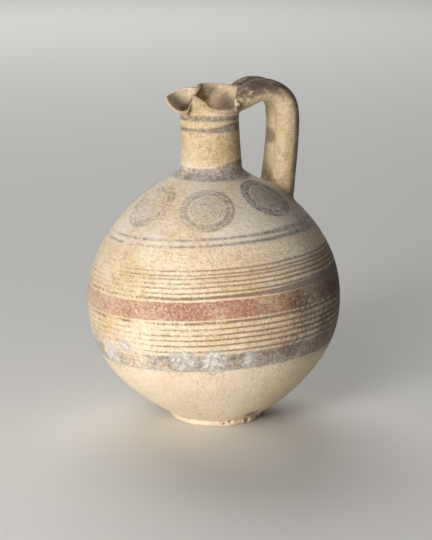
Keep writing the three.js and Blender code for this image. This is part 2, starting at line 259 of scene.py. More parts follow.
@dataclass(frozen=True)
class ThrownBody:
    """Foot, body and neck, thrown on the wheel. The origin is the centre of the foot's underside."""

    foot_radius: float = 35.2
    foot_height: float = 4.4
    foot_edge: float = 2.2
    body_radius: float = 94.85
    widest_height: float = 92.4
    base_power: float = 2.23
    base_taper: float = 1.2
    crown_rise: float = 100.0
    crown_power: float = 2.0
    crown_taper: float = 1.58
    neck_radius: float = 22.9
    neck_top_radius: float = 21.8
    neck_length: float = 33.6
    neck_fillet: float = 11.0
    lean: float = math.tan(math.radians(1.2))
    neck_lean: float = math.tan(math.radians(2.6))
    slope: float = math.tan(math.radians(1.8))
    slope_bearing: float = math.radians(-22.0)
    slope_run: float = 34.0

    @property
    def neck_foot(self) -> float:
        """Height where the neck starts."""
        return self.widest_height + self.crown_rise

    @property
    def neck_top(self) -> float:
        """Height where the mouth starts."""
        return self.neck_foot + self.neck_length

    def axis(self, height: np.ndarray) -> np.ndarray:
        """X of the axis: it leans evenly up to the neck and a little more in the neck."""
        in_neck = np.maximum(height - self.neck_foot, 0.0)
        return -self.lean * np.minimum(height, self.neck_foot) - self.neck_lean * in_neck

    def radius(self, height: np.ndarray) -> np.ndarray:
        """Outside radius: R (1 - t^p)^(1/q) below and above the widest ring, filleted into the neck.

        Args:
            height: Heights in millimetres.

        Returns:
            The radius at each height.
        """
        foot_share = (1 - (self.foot_radius / self.body_radius) ** self.base_taper) ** (1 / self.base_power)
        depth = (self.widest_height - self.foot_height) / foot_share
        low = np.clip((self.widest_height - height) / depth, 0, 1)
        high = np.clip((height - self.widest_height) / self.crown_rise, 0, 1)
        base = self.body_radius * (1 - low ** self.base_power) ** (1 / self.base_taper)
        crown = self.body_radius * (1 - high ** self.crown_power) ** (1 / self.crown_taper)
        up = np.clip((height - self.neck_foot) / self.neck_length, 0, 1)
        neck = mix(self.neck_radius, self.neck_top_radius, up)
        near = np.maximum(self.neck_fillet - np.abs(crown - neck), 0) / self.neck_fillet
        upper = np.maximum(crown, neck) + near * near * self.neck_fillet / 4
        return np.where(height < self.widest_height, base, upper)

    def crown_height(self, radius: float) -> float:
        """Height at which the upper round has a given radius."""
        rest = 1 - (radius / self.body_radius) ** self.crown_taper
        return self.widest_height + self.crown_rise * rest ** (1 / self.crown_power)

    def slope_at(self, height: np.ndarray) -> np.ndarray:
        """How steeply the rings slope: none at the foot and in the neck.

        Args:
            height: Heights in millimetres.

        Returns:
            The slope at each height.
        """
        rise = smooth_step(height, self.foot_height, self.foot_height + self.slope_run)
        fade = smooth_step(height, self.neck_foot - self.slope_run, self.neck_foot)
        return self.slope * rise * (1 - fade)

    def rings(self, radius: np.ndarray, height: np.ndarray, neck_bearings: np.ndarray) -> np.ndarray:
        """Rings round the axis, evenly divided on the body and as the rim needs in the neck.

        Args:
            radius: Radius of each ring.
            height: Height of each ring.
            neck_bearings: Bearing of each column in the neck, in radians.

        Returns:
            Points, shape (rows, columns, 3).
        """
        columns = len(neck_bearings)
        even = 2 * math.pi * np.arange(columns) / columns
        drift = smooth_step(height, self.widest_height, self.neck_foot)[:, None]
        bearing = mix(even[None], neck_bearings[None], drift)
        out = radius[:, None]
        lift = self.slope_at(height)[:, None] * out * np.cos(bearing - self.slope_bearing)
        x = self.axis(height)[:, None] + out * np.cos(bearing)
        return np.stack([x, out * np.sin(bearing), height[:, None] + lift], axis=-1)


@dataclass(frozen=True)
class RimPart:
    """One stretch of the rim: its own reach, width and rise, and shares of them at each bearing."""

    reach: float
    width: float
    rise: float
    points: tuple[tuple[float, float, float, float], ...]


@dataclass(frozen=True)
class PinchedMouth:
    """The mouth, pinched in on both sides so that a spout stands off from the round back."""

    body: ThrownBody
    flare: float = 1.5
    back_flare: float = 2.2
    back_rise: float = 21.1
    lobe_flare: float = 4.7
    far_rise: float = 22.6
    near_rise: float = 8.0
    spout_length: float = 12.9
    spout_half_width: float = 11.5
    spout_rise: float = 14.8
    spout_near_rise: float = 6.2
    far_fold_forward: float = 7.4
    far_fold_side: float = 6.8
    near_fold_forward: float = 16.9
    near_fold_side: float = 6.3
    near_fold_rise: float = 18.6
    rows: int = 26
    columns: int = 288

    @property
    def back_reach(self) -> float:
        """Distance of the back of the rim from the neck's axis."""
        return self.body.neck_top_radius + self.back_flare

    def parts(self) -> tuple[RimPart, ...]:
        """The stretches of the rim in order of bearing, from the back over the far side.

        Returns:
            The stretches, each with its bearings in degrees and its shares of reach, width and rise.
        """
        lobe = self.body.neck_top_radius + self.lobe_flare
        spout = self.body.neck_top_radius + self.spout_length
        back = self.back_reach
        side = self.spout_half_width
        return (
            RimPart(back, lobe, self.back_rise, ((0, 1, 0, 1),)),
            RimPart(back, lobe, self.far_rise, (
                (28, 0.875, 0.44, 0.98), (58, 0.56, 0.82, 1), (84, 0.19, 1, 1), (104, -0.03, 0.86, 1))),
            RimPart(-self.far_fold_forward, self.far_fold_side, self.far_rise, (
                (124, 0.42, 2.1, 1), (144, 1, 1, 1))),
            RimPart(-spout, side, self.far_rise, (
                (153, 0.355, 0.85, 0.98), (160, 0.52, 1, 0.92), (168, 0.7, 0.9, 0.8))),
            RimPart(-spout, side, self.spout_rise, (
                (175, 0.88, 0.52, 1.13), (180, 1, -0.05, 1), (185, 0.963, -0.39, 0.71))),
            RimPart(-spout, -side, self.spout_near_rise, (
                (190, 0.885, 0.72, 1.24), (195, 0.767, 0.95, 1), (202, 0.595, 1, 1.12))),
            RimPart(-self.near_fold_forward, -self.near_fold_side, self.near_fold_rise, (
                (209, 0.955, 0.95, 0.74), (216, 1, 1.42, 1), (224, 0.72, 2.2, 0.845))),
            RimPart(back, -lobe, self.near_rise, (
                (242, -0.325, 0.83, 1.28), (268, 0.1, 1, 1), (292, 0.47, 0.93, 0.98),
                (312, 0.67, 0.74, 1.12))),
            RimPart(back, -lobe, self.back_rise, ((336, 0.8, 0.43, 0.93),)),
        )

    def stations(self) -> tuple[np.ndarray, np.ndarray]:
        """Where the rim passes, one station after the other.

        Returns:
            Bearings in degrees, and rim points from the neck's top.
        """
        listed = [(b, p.reach * x, p.width * y, p.rise * z) for p in self.parts() for b, x, y, z in p.points]
        table = np.array(listed, dtype=float)
        return table[:, 0], table[:, 1:]

    def places(self) -> np.ndarray:
        """Place of each column, counted in stations."""
        return np.arange(self.columns) * len(self.stations()[0]) / self.columns

    def neck_bearings(self) -> np.ndarray:
        """Bearing on the neck below each column of the rim, in radians."""
        bearings = np.append(self.stations()[0], FULL_CIRCLE)
        return np.radians(np.interp(self.places(), np.arange(len(bearings)), bearings))

    def edge(self) -> np.ndarray:
        """The rim's outer edge.

        Returns:
            One point for each column.
        """
        top = self.body.neck_top
        points = curve_through(self.stations()[1], self.places(), True)
        return points + np.array([float(self.body.axis(np.array(top))), 0.0, top])

    def rings(self) -> np.ndarray:
        """The outside of the mouth: evenly up in height, outwards by the share to the power of the flare.

        Returns:
            Rings, shape (rows + 1, columns, 3).
        """
        body = self.body
        start = body.rings(np.array([body.neck_top_radius]), np.array([body.neck_top]), self.neck_bearings())
        up = (np.arange(self.rows + 1) / self.rows)[:, None, None]
        share = np.concatenate([up ** self.flare, up ** self.flare, up], axis=-1)
        return mix(start, self.edge()[None], share)


@dataclass(frozen=True)
class Shell:
    """The hollow vessel: outside, rounded lip, inside wall and floor."""

    body: ThrownBody
    mouth: PinchedMouth
    lip_wall: float = 3.0
    lip_crown: float = 1.15
    neck_wall: float = 4.0
    belly_wall: float = 5.2
    base_wall: float = 6.4
    floor_thickness: float = 9.2
    underside_hollow: float = 0.5
    outside_step: float = 1.62
    lip_rows: int = 7
    floor_rows: int = 8
    inside_every: int = 4
    lip_softening: float = 9.4
    profile_points: tuple[int, int] = (400, 800)
    underside_rings: int = 24
    hollow_fade: Pair = (0.7, 0.92)
    foot_edge_rings: int = 5
    foot_side_rings: int = 4

    def wall(self, height: np.ndarray) -> np.ndarray:
        """Wall thickness by height: it tapers from the base to the belly and on to the neck.

        Args:
            height: Heights in millimetres.

        Returns:
            The thickness at each height.
        """
        body = self.body
        low = mix(self.base_wall, self.belly_wall, np.clip(height / body.widest_height, 0, 1))
        up = np.clip((height - body.widest_height) / body.crown_rise, 0, 1)
        high = mix(self.belly_wall, self.neck_wall, up)
        return np.where(height < body.widest_height, low, high)

    def outline(self) -> np.ndarray:
        """The outside from the foot's top to the neck's top, evenly spaced.

        Returns:
            Radius and height of each ring.
        """
        body = self.body
        turn = np.linspace(0, QUARTER_TURN, self.profile_points[0])
        low = body.foot_height + (body.widest_height - body.foot_height) * (1 - np.cos(turn[:-1]))
        high = np.linspace(body.widest_height, body.neck_top, self.profile_points[1])
        height = np.concatenate([low, high])
        return evenly_along(np.stack([body.radius(height), height], axis=1), self.outside_step)[:-1]

    def outside(self) -> np.ndarray:
        """The outside, from the foot's top to the rim.

        Returns:
            Rings, shape (rows, columns, 3).
        """
        line = self.outline()
        body = self.body.rings(line[:, 0], line[:, 1], self.mouth.neck_bearings())
        return np.concatenate([body, self.mouth.rings()])

    def offset(self, outside: np.ndarray, share: float) -> np.ndarray:
        """The outside moved inwards along its normals by a share of the wall.

        Args:
            outside: Rings of the outside.
            share: 1 for the inside face, 0.5 for the middle of the wall.

        Returns:
            Rings from the rim down to just above the floor.
        """
        rows = len(outside)
        lip = np.clip((np.arange(rows) - rows + 1 + self.mouth.rows) / self.mouth.rows, 0, 1)[:, None]
        normal = grid_normals(outside)
        normal = mix(normal, soften_round(normal, self.lip_softening), lip[..., None])
        normal /= np.linalg.norm(normal, axis=-1, keepdims=True)
        wall = mix(self.wall(outside[..., 2]), self.lip_wall, lip)
        moved = outside - normal * (wall * share)[..., None]
        high_enough = moved[..., 2].min(axis=1) > self.floor_thickness + self.base_wall
        thin = (np.arange(rows) % self.inside_every == 0) | (np.arange(rows) >= rows - self.mouth.rows)
        return moved[high_enough & thin][::-1]

    def foot(self) -> np.ndarray:
        """The underside and the foot's rounded edge: radius R - e (1 - sin a), height e (1 - cos a).

        Returns:
            Rings from the middle of the underside out to the foot's top.
        """
        body = self.body
        flat = body.foot_radius - body.foot_edge
        inner = np.linspace(0, flat, self.underside_rings)[1:-1]
        fade = smooth_step(inner, flat * self.hollow_fade[0], flat * self.hollow_fade[1])
        turn = np.linspace(0, QUARTER_TURN, self.foot_edge_rings)
        edge = body.foot_radius - body.foot_edge * (1 - np.sin(turn))
        rise = np.linspace(body.foot_edge, body.foot_height, self.foot_side_rings)[1:-1]
        radius = np.concatenate([inner, edge, np.full(len(rise), body.foot_radius)])
        hollow = self.underside_hollow * (1 - fade)
        height = np.concatenate([hollow, body.foot_edge * (1 - np.cos(turn)), rise])
        return self.body.rings(radius, height, self.mouth.neck_bearings())

    def lip(self, outer: np.ndarray, below: np.ndarray, inner: np.ndarray) -> np.ndarray:
        """The rounded lip, half an oval from the outer edge over to the inner edge.

        Args:
            outer: The rim's outer edge.
            below: The ring below the outer edge.
            inner: The rim's inner edge.

        Returns:
            Rings of the lip.
        """
        middle = (outer + inner) / 2
        half = (outer - inner) / 2
        up = outer - below
        up /= np.linalg.norm(up, axis=-1, keepdims=True)
        turn = np.linspace(0, HALF_TURN, self.lip_rows + 2)[1:-1, None, None]
        return middle[None] + half[None] * np.cos(turn) + up[None] * self.lip_crown * np.sin(turn)

    def floor(self, lowest: np.ndarray) -> np.ndarray:
        """The floor: rings that shrink to the middle while their height falls by the square of the share.

        Args:
            lowest: The lowest ring of the inside wall.

        Returns:
            Rings of the floor.
        """
        share = 1 - np.arange(1, self.floor_rows + 1)[:, None] / (self.floor_rows + 1)
        centre = float(self.body.axis(np.array(self.floor_thickness)))
        x = mix(centre, lowest[None, :, 0], share)
        z = mix(self.floor_thickness, lowest[None, :, 2], share * share)
        return np.stack([x, lowest[None, :, 1] * share, z], axis=-1)

    def surface(self) -> tuple[np.ndarray, list, np.ndarray]:
        """The whole shell, closed.

        Returns:
            Points, faces and the zone of each face.
        """
        outside = self.outside()
        foot = self.foot()
        inside = self.offset(outside, 1.0)
        lip = self.lip(outside[-1], outside[-2], inside[0])
        floor = self.floor(inside[-1])
        rings = np.concatenate([foot, outside, lip, inside, floor])
        centre = float(self.body.axis(np.array(self.floor_thickness)))
        first = np.array([0.0, 0.0, self.underside_hollow])
        points, faces = closed_grid(first, rings, np.array([centre, 0.0, self.floor_thickness]))
        columns = rings.shape[1]
        painted = columns + (len(foot) + len(outside) + len(lip) // 2) * columns
        zones = np.where(np.arange(len(faces)) < painted, Zone.OUTSIDE.value, Zone.INSIDE.value)
        return points, faces, zones

    def plug(self, lid_rise: float) -> tuple[np.ndarray, list]:
        """A closed solid of all that lies inside the middle of the wall, which cuts buried clay away.

        Args:
            lid_rise: How far the solid reaches above the rim, in millimetres.

        Returns:
            Points and faces.
        """
        rings = self.offset(self.outside(), 0.5)[::-1]
        centre = float(self.body.axis(np.array(self.floor_thickness)))
        top = float(self.body.axis(np.array(self.body.neck_top)))
        lid = np.array([top, 0.0, self.body.neck_top + self.mouth.far_rise + lid_rise])
        return closed_grid(np.array([centre, 0.0, self.floor_thickness]), rings, lid)


@dataclass(frozen=True)
class RollHandle:
    """Two rolls side by side, from the back of the rim over a crest and down to the shoulder."""

    body: ThrownBody
    mouth: PinchedMouth
    thickness: float = 18.2
    spacing: float = 17.6
    start_thickness: float = 16.2
    start_spacing: float = 15.2
    bend_thickness: float = 16.2
    foot_thickness: float = 20.4
    foot_spacing: float = 20.4
    finger_gap: float = 27.7
    crest_rise: float = 20.7
    start_end: float = 0.2
    bend_at: float = 0.3
    bend_span: float = 0.14
    foot_start: float = 0.75
    sides: int = 44
    rows: int = 118
    path_points: int = 1200

    @property
    def reach(self) -> float:
        """Distance of the handle's centre line from the neck's axis where it hangs straight."""
        return self.body.neck_top_radius + self.finger_gap + self.thickness / 2

    def stations(self) -> np.ndarray:
        """Where the centre line passes, from the rim over the crest and down to the shoulder.

        Returns:
            Points of the centre line.
        """
        # Shares of the way out from the rim, and of the crest's rise, then of the drop to the shoulder
        top = np.array([
            (-0.37, 0.48), (-0.125, 0.66), (0.057, 0.81), (0.29, 0.985), (0.493, 1.0), (0.706, 0.905),
            (0.87, 0.7), (0.965, 0.42), (1.0, 0.05)])
        drop = np.array([
            (1.0, 0.8), (0.97, 0.545), (0.93, 0.33), (0.89, 0.15), (0.83, -0.02), (0.78, -0.16)])
        out = np.concatenate([top[:, 0], drop[:, 0]])
        shoulder = self.body.crown_height(self.reach)
        crest = self.body.neck_top
        height = np.concatenate([crest + self.crest_rise * top[:, 1], mix(shoulder, crest, drop[:, 1])])
        x = float(self.body.axis(np.array(crest))) + mix(self.mouth.back_reach, self.reach, out)
        return np.stack([x, np.zeros_like(x), height], axis=1)

    def path(self, count: int) -> tuple[np.ndarray, np.ndarray]:
        """The centre line, evenly divided.

        Args:
            count: Number of points.

        Returns:
            The points, and the direction towards the neck at each.
        """
        stations = self.stations()
        fine = curve_through(stations, np.linspace(0, len(stations) - 1, self.path_points), False)
        length = np.concatenate([[0.0], np.cumsum(np.linalg.norm(np.diff(fine, axis=0), axis=1))])
        where = np.linspace(0, length[-1], count)
        points = np.stack([np.interp(where, length, fine[:, k]) for k in range(3)], axis=1)
        tangent = np.gradient(points, axis=0)
        tangent /= np.linalg.norm(tangent, axis=1, keepdims=True)
        return points, np.cross(SIDEWAYS, tangent)

    def roll(self, side: int) -> tuple[np.ndarray, list]:
        """One roll: ovals c + cos(a) n thickness/2 + sin(a) y width/2 carried along the path.

        Args:
            side: -1 for the near roll, 1 for the far roll.

        Returns:
            Points and faces.
        """
        centre, inward = self.path(self.rows + 1)
        t = np.linspace(0, 1, self.rows + 1)
        start = 1 - smooth_step(t, 0, self.start_end)
        foot = smooth_step(t, self.foot_start, 1)
        bend = np.clip(1 - np.abs(t - self.bend_at) / self.bend_span, 0, 1)
        thick = mix(mix(self.thickness, self.bend_thickness, bend), self.start_thickness, start)
        thick = mix(thick, self.foot_thickness, foot)
        apart = mix(mix(self.spacing, self.start_spacing, start), self.foot_spacing, foot)
        middle = centre + SIDEWAYS * (side * apart / 2)[:, None]
        turn = (FULL_TURN * np.arange(self.sides) / self.sides)[None, :, None]
        width = (apart + self.thickness - self.spacing)[:, None, None]
        rings = middle[:, None] + np.cos(turn) * inward[:, None] * thick[:, None, None] / 2
        rings = rings + np.sin(turn) * SIDEWAYS * width / 2
        return closed_grid(middle[0], rings, middle[-1])


@dataclass(frozen=True)
class Dent:
    """A pit or chip: a round hollow pressed into the surface."""

    at: Triple
    radius: float
    depth: float


@dataclass(frozen=True)
class Ripple:
    """One noise of the surface: how high it stands and how wide its lumps are, in millimetres."""

    height: float
    size: float
    seed: int

    def at(self, points: np.ndarray) -> np.ndarray:
        """Its height at each point."""
        return self.height * lattice_noise(points, self.size, self.seed)

    def above(self, points: np.ndarray, level: float) -> np.ndarray:
        """What stands above a level at each point, by height times max(noise - level, 0)."""
        return self.height * np.maximum(lattice_noise(points, self.size, self.seed) - level, 0)


@dataclass(frozen=True)
class Weathering:
    """What hand, wheel, kiln and burial did to the surface."""

    body: ThrownBody
    swells: tuple[Ripple, ...] = (Ripple(0.18, 34.0, 1), Ripple(0.08, 11.0, 2), Ripple(0.05, 4.2, 3))
    wheel_ridges: tuple[Ripple, ...] = (Ripple(0.07, 3.4, 11), Ripple(0.05, 7.5, 12))
    ridges_end: Pair = (226.0, 236.0)
    foot_worn: Pair = (3.0, 9.5)
    foot_chips: Ripple = Ripple(2.3, 4.6, 4)
    foot_chip_level: float = 0.22
    foot_crumbs: Ripple = Ripple(0.7, 2.1, 5)
    foot_least: float = 0.45
    worn_from: Pair = (-100.0, -60.0)
    worn_to: Pair = (10.0, 60.0)
    rim_worn: Pair = (229.0, 234.0)
    rim_chips: Ripple = Ripple(0.35, 3.4, 6)
    rim_chip_level: float = 0.2
    crust_at: Triple = (9.5, -19.0, 237.5)
    crust_reach: Pair = (4.0, 13.0)
    crust_lumps: tuple[Ripple, ...] = (Ripple(0.8, 2.8, 7), Ripple(0.5, 1.6, 8))
    crust_thickness: float = 0.3
    dent_bottom: float = 0.15
    dents: tuple[Dent, ...] = (
        Dent((-29.0, -40.1, 13.6), 1.7, 1.1),
        Dent((-3.0, -35.1, 3.6), 2.1, 1.3),
        Dent((-8.0, -34.5, 2.2), 2.4, 0.8),
        Dent((17.5, -32.7, 5.6), 2.6, 1.2),
        Dent((11.5, -33.4, 2.2), 3.2, 1.5),
        Dent((23.5, -27.0, 2.4), 3.6, 1.4),
        Dent((-31.0, 12.0, 2.0), 3.0, 1.2),
        Dent((8.0, 34.0, 1.8), 3.4, 1.3),
        Dent((62.0, 44.0, 120.0), 3.2, 0.7),
        Dent((-71.0, 38.0, 58.0), 2.6, 0.6),
    )

    def foot_wear(self, points: np.ndarray) -> np.ndarray:
        """Depth of the chips and crumbs round the foot's edge, most of them on the near side.

        Args:
            points: Positions in millimetres.

        Returns:
            The depth in millimetres.
        """
        edge = 1 - smooth_step(points[:, 2], *self.foot_worn)
        bearing = np.degrees(np.arctan2(points[:, 1], points[:, 0]))
        near = smooth_step(bearing, *self.worn_from) * (1 - smooth_step(bearing, *self.worn_to))
        rough = self.foot_least + (1 - self.foot_least) * near
        chips = self.foot_chips.above(points, self.foot_chip_level) + self.foot_crumbs.above(points, 0.0)
        return edge * rough * chips

    def depth(self, points: np.ndarray, inside: np.ndarray) -> np.ndarray:
        """Outward shift of each point: soft unevenness, wheel ridges and crust, less chips and dents.

        Args:
            points: Positions in millimetres.
            inside: 1 on the inside of the vessel, 0 elsewhere.

        Returns:
            The shift along the normal in millimetres.
        """
        height = points[:, 2]
        level = np.stack([height * 0, height * 0, height], axis=1)
        wheel = sum(ripple.at(level) for ripple in self.wheel_ridges)
        fade = 1 - smooth_step(height, *self.ridges_end)
        shift = sum(ripple.at(points) for ripple in self.swells) + wheel * fade * (1 + inside)
        shift -= self.foot_wear(points) * (1 - inside)
        shift -= smooth_step(height, *self.rim_worn) * self.rim_chips.above(points, self.rim_chip_level)
        away = np.linalg.norm(points - np.array(self.crust_at), axis=1)
        lumps = sum(ripple.at(points) for ripple in self.crust_lumps) + self.crust_thickness
        shift += (1 - smooth_step(away, *self.crust_reach)) * lumps
        for dent in self.dents:
            near = np.linalg.norm(points - np.array(dent.at), axis=1) / dent.radius
            shift -= dent.depth * (1 - smooth_step(near, self.dent_bottom, 1.0))
        return shift


@dataclass(frozen=True)
class Jug:
    """The finished piece: shell and rolls joined into one skin, weathered and measured for its paint."""

    body: ThrownBody
    mouth: PinchedMouth
    shell: Shell
    handle: RollHandle
    weather: Weathering
    spread_rounds: int = 7
    spread_gain: float = 1.25
    seam_share: float = 0.6
    relax_rounds: int = 26
    skin: float = 0.22
    flat_height: float = 0.6
    flat_normal: float = 0.9
    full_hollow: float = 0.12
    handle_points: int = 160
    handle_batches: int = 40
    rim_batches: int = 20
    far_from_rim: float = 100.0

    def cut(self, thing: bpy.types.Object, other: bpy.types.Object, operation: str) -> None:
        """Add a boolean between two closed meshes to the first.

        Args:
            thing: The object that changes.
            other: The object that it is joined to or cut by.
            operation: UNION or DIFFERENCE.
        """
        step = thing.modifiers.new(operation.lower(), "BOOLEAN")
        step.operation = operation
        step.object = other
        step.solver = "MANIFOLD"

    def joined(self) -> bpy.types.Mesh:
        """The union of the shell and both rolls, whose buried ends are cut off inside the wall.

        Returns:
            The mesh, whose material indices are the zones.
        """
        shell = make_object("shell", *self.shell.surface())
        plug = make_object("plug", *self.shell.plug(self.handle.start_thickness))
        helpers = [shell, plug]
        for side in (-1, 1):
            points, faces = self.handle.roll(side)
            roll = make_object("roll", points, faces, np.full(len(faces), Zone.HANDLE.value))
            self.cut(roll, plug, "DIFFERENCE")
            self.cut(shell, roll, "UNION")
            helpers.append(roll)
        seen = shell.evaluated_get(bpy.context.evaluated_depsgraph_get())
        mesh = bpy.data.meshes.new_from_object(seen)
        for helper in helpers:
            bpy.data.objects.remove(helper)
        return mesh

    def read(self, rows: bpy.types.bpy_prop_collection, name: str, width: int, kind: type) -> np.ndarray:
        """Read one property of all points, edges, faces or corners of a mesh.

        Args:
            rows: The points, edges, faces or corners.
            name: Name of the property.
            width: How many numbers it has.
            kind: Type of the numbers.

        Returns:
            The values, one row each where there is more than one number.
        """
        values = np.zeros(len(rows) * width, dtype=kind)
        rows.foreach_get(name, values)
        return values.reshape(-1, width) if width > 1 else values

    def zones_at_points(self, mesh: bpy.types.Mesh, zone: Zone) -> np.ndarray:
        """Share of the faces round each point that belong to a zone.

        Args:
            mesh: The joined mesh.
            zone: The zone.

        Returns:
            One share for each point.
        """
        number = len(mesh.vertices)
        belongs = self.read(mesh.polygons, "material_index", 1, np.int32) == zone.value
        loops = self.read(mesh.loops, "vertex_index", 1, np.int64)
        sizes = self.read(mesh.polygons, "loop_total", 1, np.int32)
        total = np.bincount(loops, np.repeat(belongs, sizes).astype(float), number)
        return total / np.maximum(np.bincount(loops, minlength=number), 1)

    def average(self, values: np.ndarray, edges: np.ndarray) -> np.ndarray:
        """Mean of each point's neighbours, by sums over the edges.

        Args:
            values: One value or one row of values for each point.
            edges: The two points of each edge.

        Returns:
            The means, of the same shape as the values.
        """
        number = len(values)
        start, end = edges.T
        count = np.maximum(np.bincount(edges.ravel(), minlength=number), 1)
        columns = values.reshape(number, -1).T
        sums = [np.bincount(start, c[end], number) + np.bincount(end, c[start], number) for c in columns]
        return (np.stack(sums, axis=-1) / count[:, None]).reshape(values.shape)

    def hollow(self, points: np.ndarray, normal: np.ndarray, edges: np.ndarray) -> np.ndarray:
        """How far each point lies below its neighbours, by their mean less the point, along the normal."""
        return ((self.average(points, edges) - points) * normal).sum(axis=1)

    def relaxed(self, points: np.ndarray, on_roll: np.ndarray, edges: np.ndarray) -> np.ndarray:
        """Round the seams where the rolls meet each other and the pot, by repeated averaging.

        Args:
            points: Positions in millimetres.
            on_roll: Share of the faces round each point that are the handle's.
            edges: The two points of each edge.

        Returns:
            The new positions.
        """
        seam = ((on_roll > 0) & (on_roll < 1)).astype(float)
        for _ in range(self.spread_rounds):
            seam = np.maximum(seam, self.average(seam, edges) * self.spread_gain)
        seam = np.clip(seam, 0, 1) * self.seam_share
        for _ in range(self.relax_rounds):
            points = mix(points, self.average(points, edges), seam[:, None])
        return points

    def roll_attributes(self, points: np.ndarray) -> tuple[np.ndarray, np.ndarray]:
        """Place on the handle, from the nearest point of its centre line seen from the side.

        Args:
            points: Positions in millimetres.

        Returns:
            Length along the centre line, and share outwards from it.
        """
        line, inward = self.handle.path(self.handle_points)
        length = np.linspace(0, np.linalg.norm(np.diff(line, axis=0), axis=1).sum(), len(line))
        along = np.zeros(len(points))
        outward = np.zeros(len(points))
        for part in np.array_split(np.arange(len(points)), self.handle_batches):
            flat = points[part][:, None, [0, 2]] - line[None][:, :, [0, 2]]
            nearest = np.argmin((flat ** 2).sum(axis=-1), axis=1)
            along[part] = length[nearest]
            gap = points[part] - line[nearest]
            outward[part] = -(gap * inward[nearest]).sum(axis=1) / (self.handle.thickness / 2)
        return along, outward

    def rim_distance(self, points: np.ndarray) -> np.ndarray:
        """Distance of each point from the rim's edge.

        Args:
            points: Positions in millimetres.

        Returns:
            The distance in millimetres, and a large one below the mouth.
        """
        edge = self.mouth.edge()
        gap = np.full(len(points), self.far_from_rim)
        high = np.flatnonzero(points[:, 2] > self.body.neck_top)
        for part in np.array_split(high, self.rim_batches):
            gap[part] = np.linalg.norm(points[part][:, None] - edge[None], axis=-1).min(axis=1)
        return gap

    def weathered(self, mesh: bpy.types.Mesh, points: np.ndarray, inside: np.ndarray,
                  edges: np.ndarray) -> tuple[np.ndarray, np.ndarray]:
        """Shift the points along their normals by the weathering and measure the hollows that it made.

        Args:
            mesh: The joined mesh, which is given the new positions.
            points: Positions in millimetres.
            inside: 1 on the inside of the vessel, 0 elsewhere.
            edges: The two points of each edge.

        Returns:
            The new positions, and each point's hollow from -1 to 1.
        """
        mesh.vertices.foreach_set("co", (points * MM).ravel())
        mesh.update()
        normal = self.read(mesh.vertices, "normal", 3, np.float64)
        smooth_hollow = self.hollow(points, normal, edges)
        shift = self.weather.depth(points, inside) - self.skin
        flat = (points[:, 2] < self.flat_height) & (np.abs(normal[:, 2]) > self.flat_normal)
        points = points + normal * np.where(flat, 0.0, shift)[:, None]
        points[:, 2] = np.maximum(points[:, 2], 0.0)
        mesh.vertices.foreach_set("co", (points * MM).ravel())
        made = self.hollow(points, normal, edges) - smooth_hollow
        return points, np.clip(made / self.full_hollow, -1, 1)

    def store(self, mesh: bpy.types.Mesh, name: str, values: np.ndarray) -> None:
        """Keep one number for each point as a named attribute."""
        layer = mesh.attributes.new(name, "FLOAT", "POINT")
        layer.data.foreach_set("value", values.astype(np.float32))

    def build(self, material: bpy.types.Material) -> bpy.types.Object:
        """Make the jug's object, dressed and bound to the frame.

        Args:
            material: The fired and painted clay.

        Returns:
            The finished object.
        """
        mesh = self.joined()
        points = self.read(mesh.vertices, "co", 3, np.float64) / MM
        edges = self.read(mesh.edges, "vertices", 2, np.int64)
        on_roll = self.zones_at_points(mesh, Zone.HANDLE)
        inside = self.zones_at_points(mesh, Zone.INSIDE)
        points = self.relaxed(points, on_roll, edges)
        points, crevice = self.weathered(mesh, points, inside, edges)
        along, outward = self.roll_attributes(points)
        self.store(mesh, "inside", inside)
        self.store(mesh, "on_handle", on_roll)
        self.store(mesh, "roll_along", along)
        self.store(mesh, "roll_outward", outward)
        self.store(mesh, "rim_gap", self.rim_distance(points))
        self.store(mesh, "crevice", crevice)
        mesh.materials.clear()
        mesh.materials.append(material)
        mesh.polygons.foreach_set("material_index", np.zeros(len(mesh.polygons), dtype=np.int32))
        mesh.shade_smooth()
        mesh.update()
        thing = bpy.data.objects.new("painted_jug", mesh)
        bpy.context.scene.collection.objects.link(thing)
        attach(thing, BODY)
        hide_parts(NODE)
        log.info("painted_jug: %d points, %d faces", len(points), len(mesh.polygons))
        return thing


def tint(red: int, green: int, blue: int) -> Colour:
    """Linear colour of a shade given in 0 to 255, by the usual gamma curve.

    Args:
        red: Red of the shade.
        green: Green of the shade.
        blue: Blue of the shade.

    Returns:
        Linear red, green and blue, and a full alpha.
    """
    linear = []
    for shade in (red, green, blue):
        share = shade / FULL_SHADE
        if shade <= GAMMA_TOE:
            linear.append(share / GAMMA_TOE_SLOPE)
        else:
            linear.append(((share + GAMMA_OFFSET) / (1 + GAMMA_OFFSET)) ** GAMMA_POWER)
    return linear[0], linear[1], linear[2], 1.0


class Ramp(NamedTuple):
    """A smooth step: where it starts and ends, and the two values that it is mapped onto."""

    low: float
    high: float
    to_low: float = 0.0
    to_high: float = 1.0


class Grain(NamedTuple):
    """A fractal noise: its scale per metre, its levels of detail and how rough they are."""

    scale: float
    detail: float = 2.0
    rough: float = 0.5


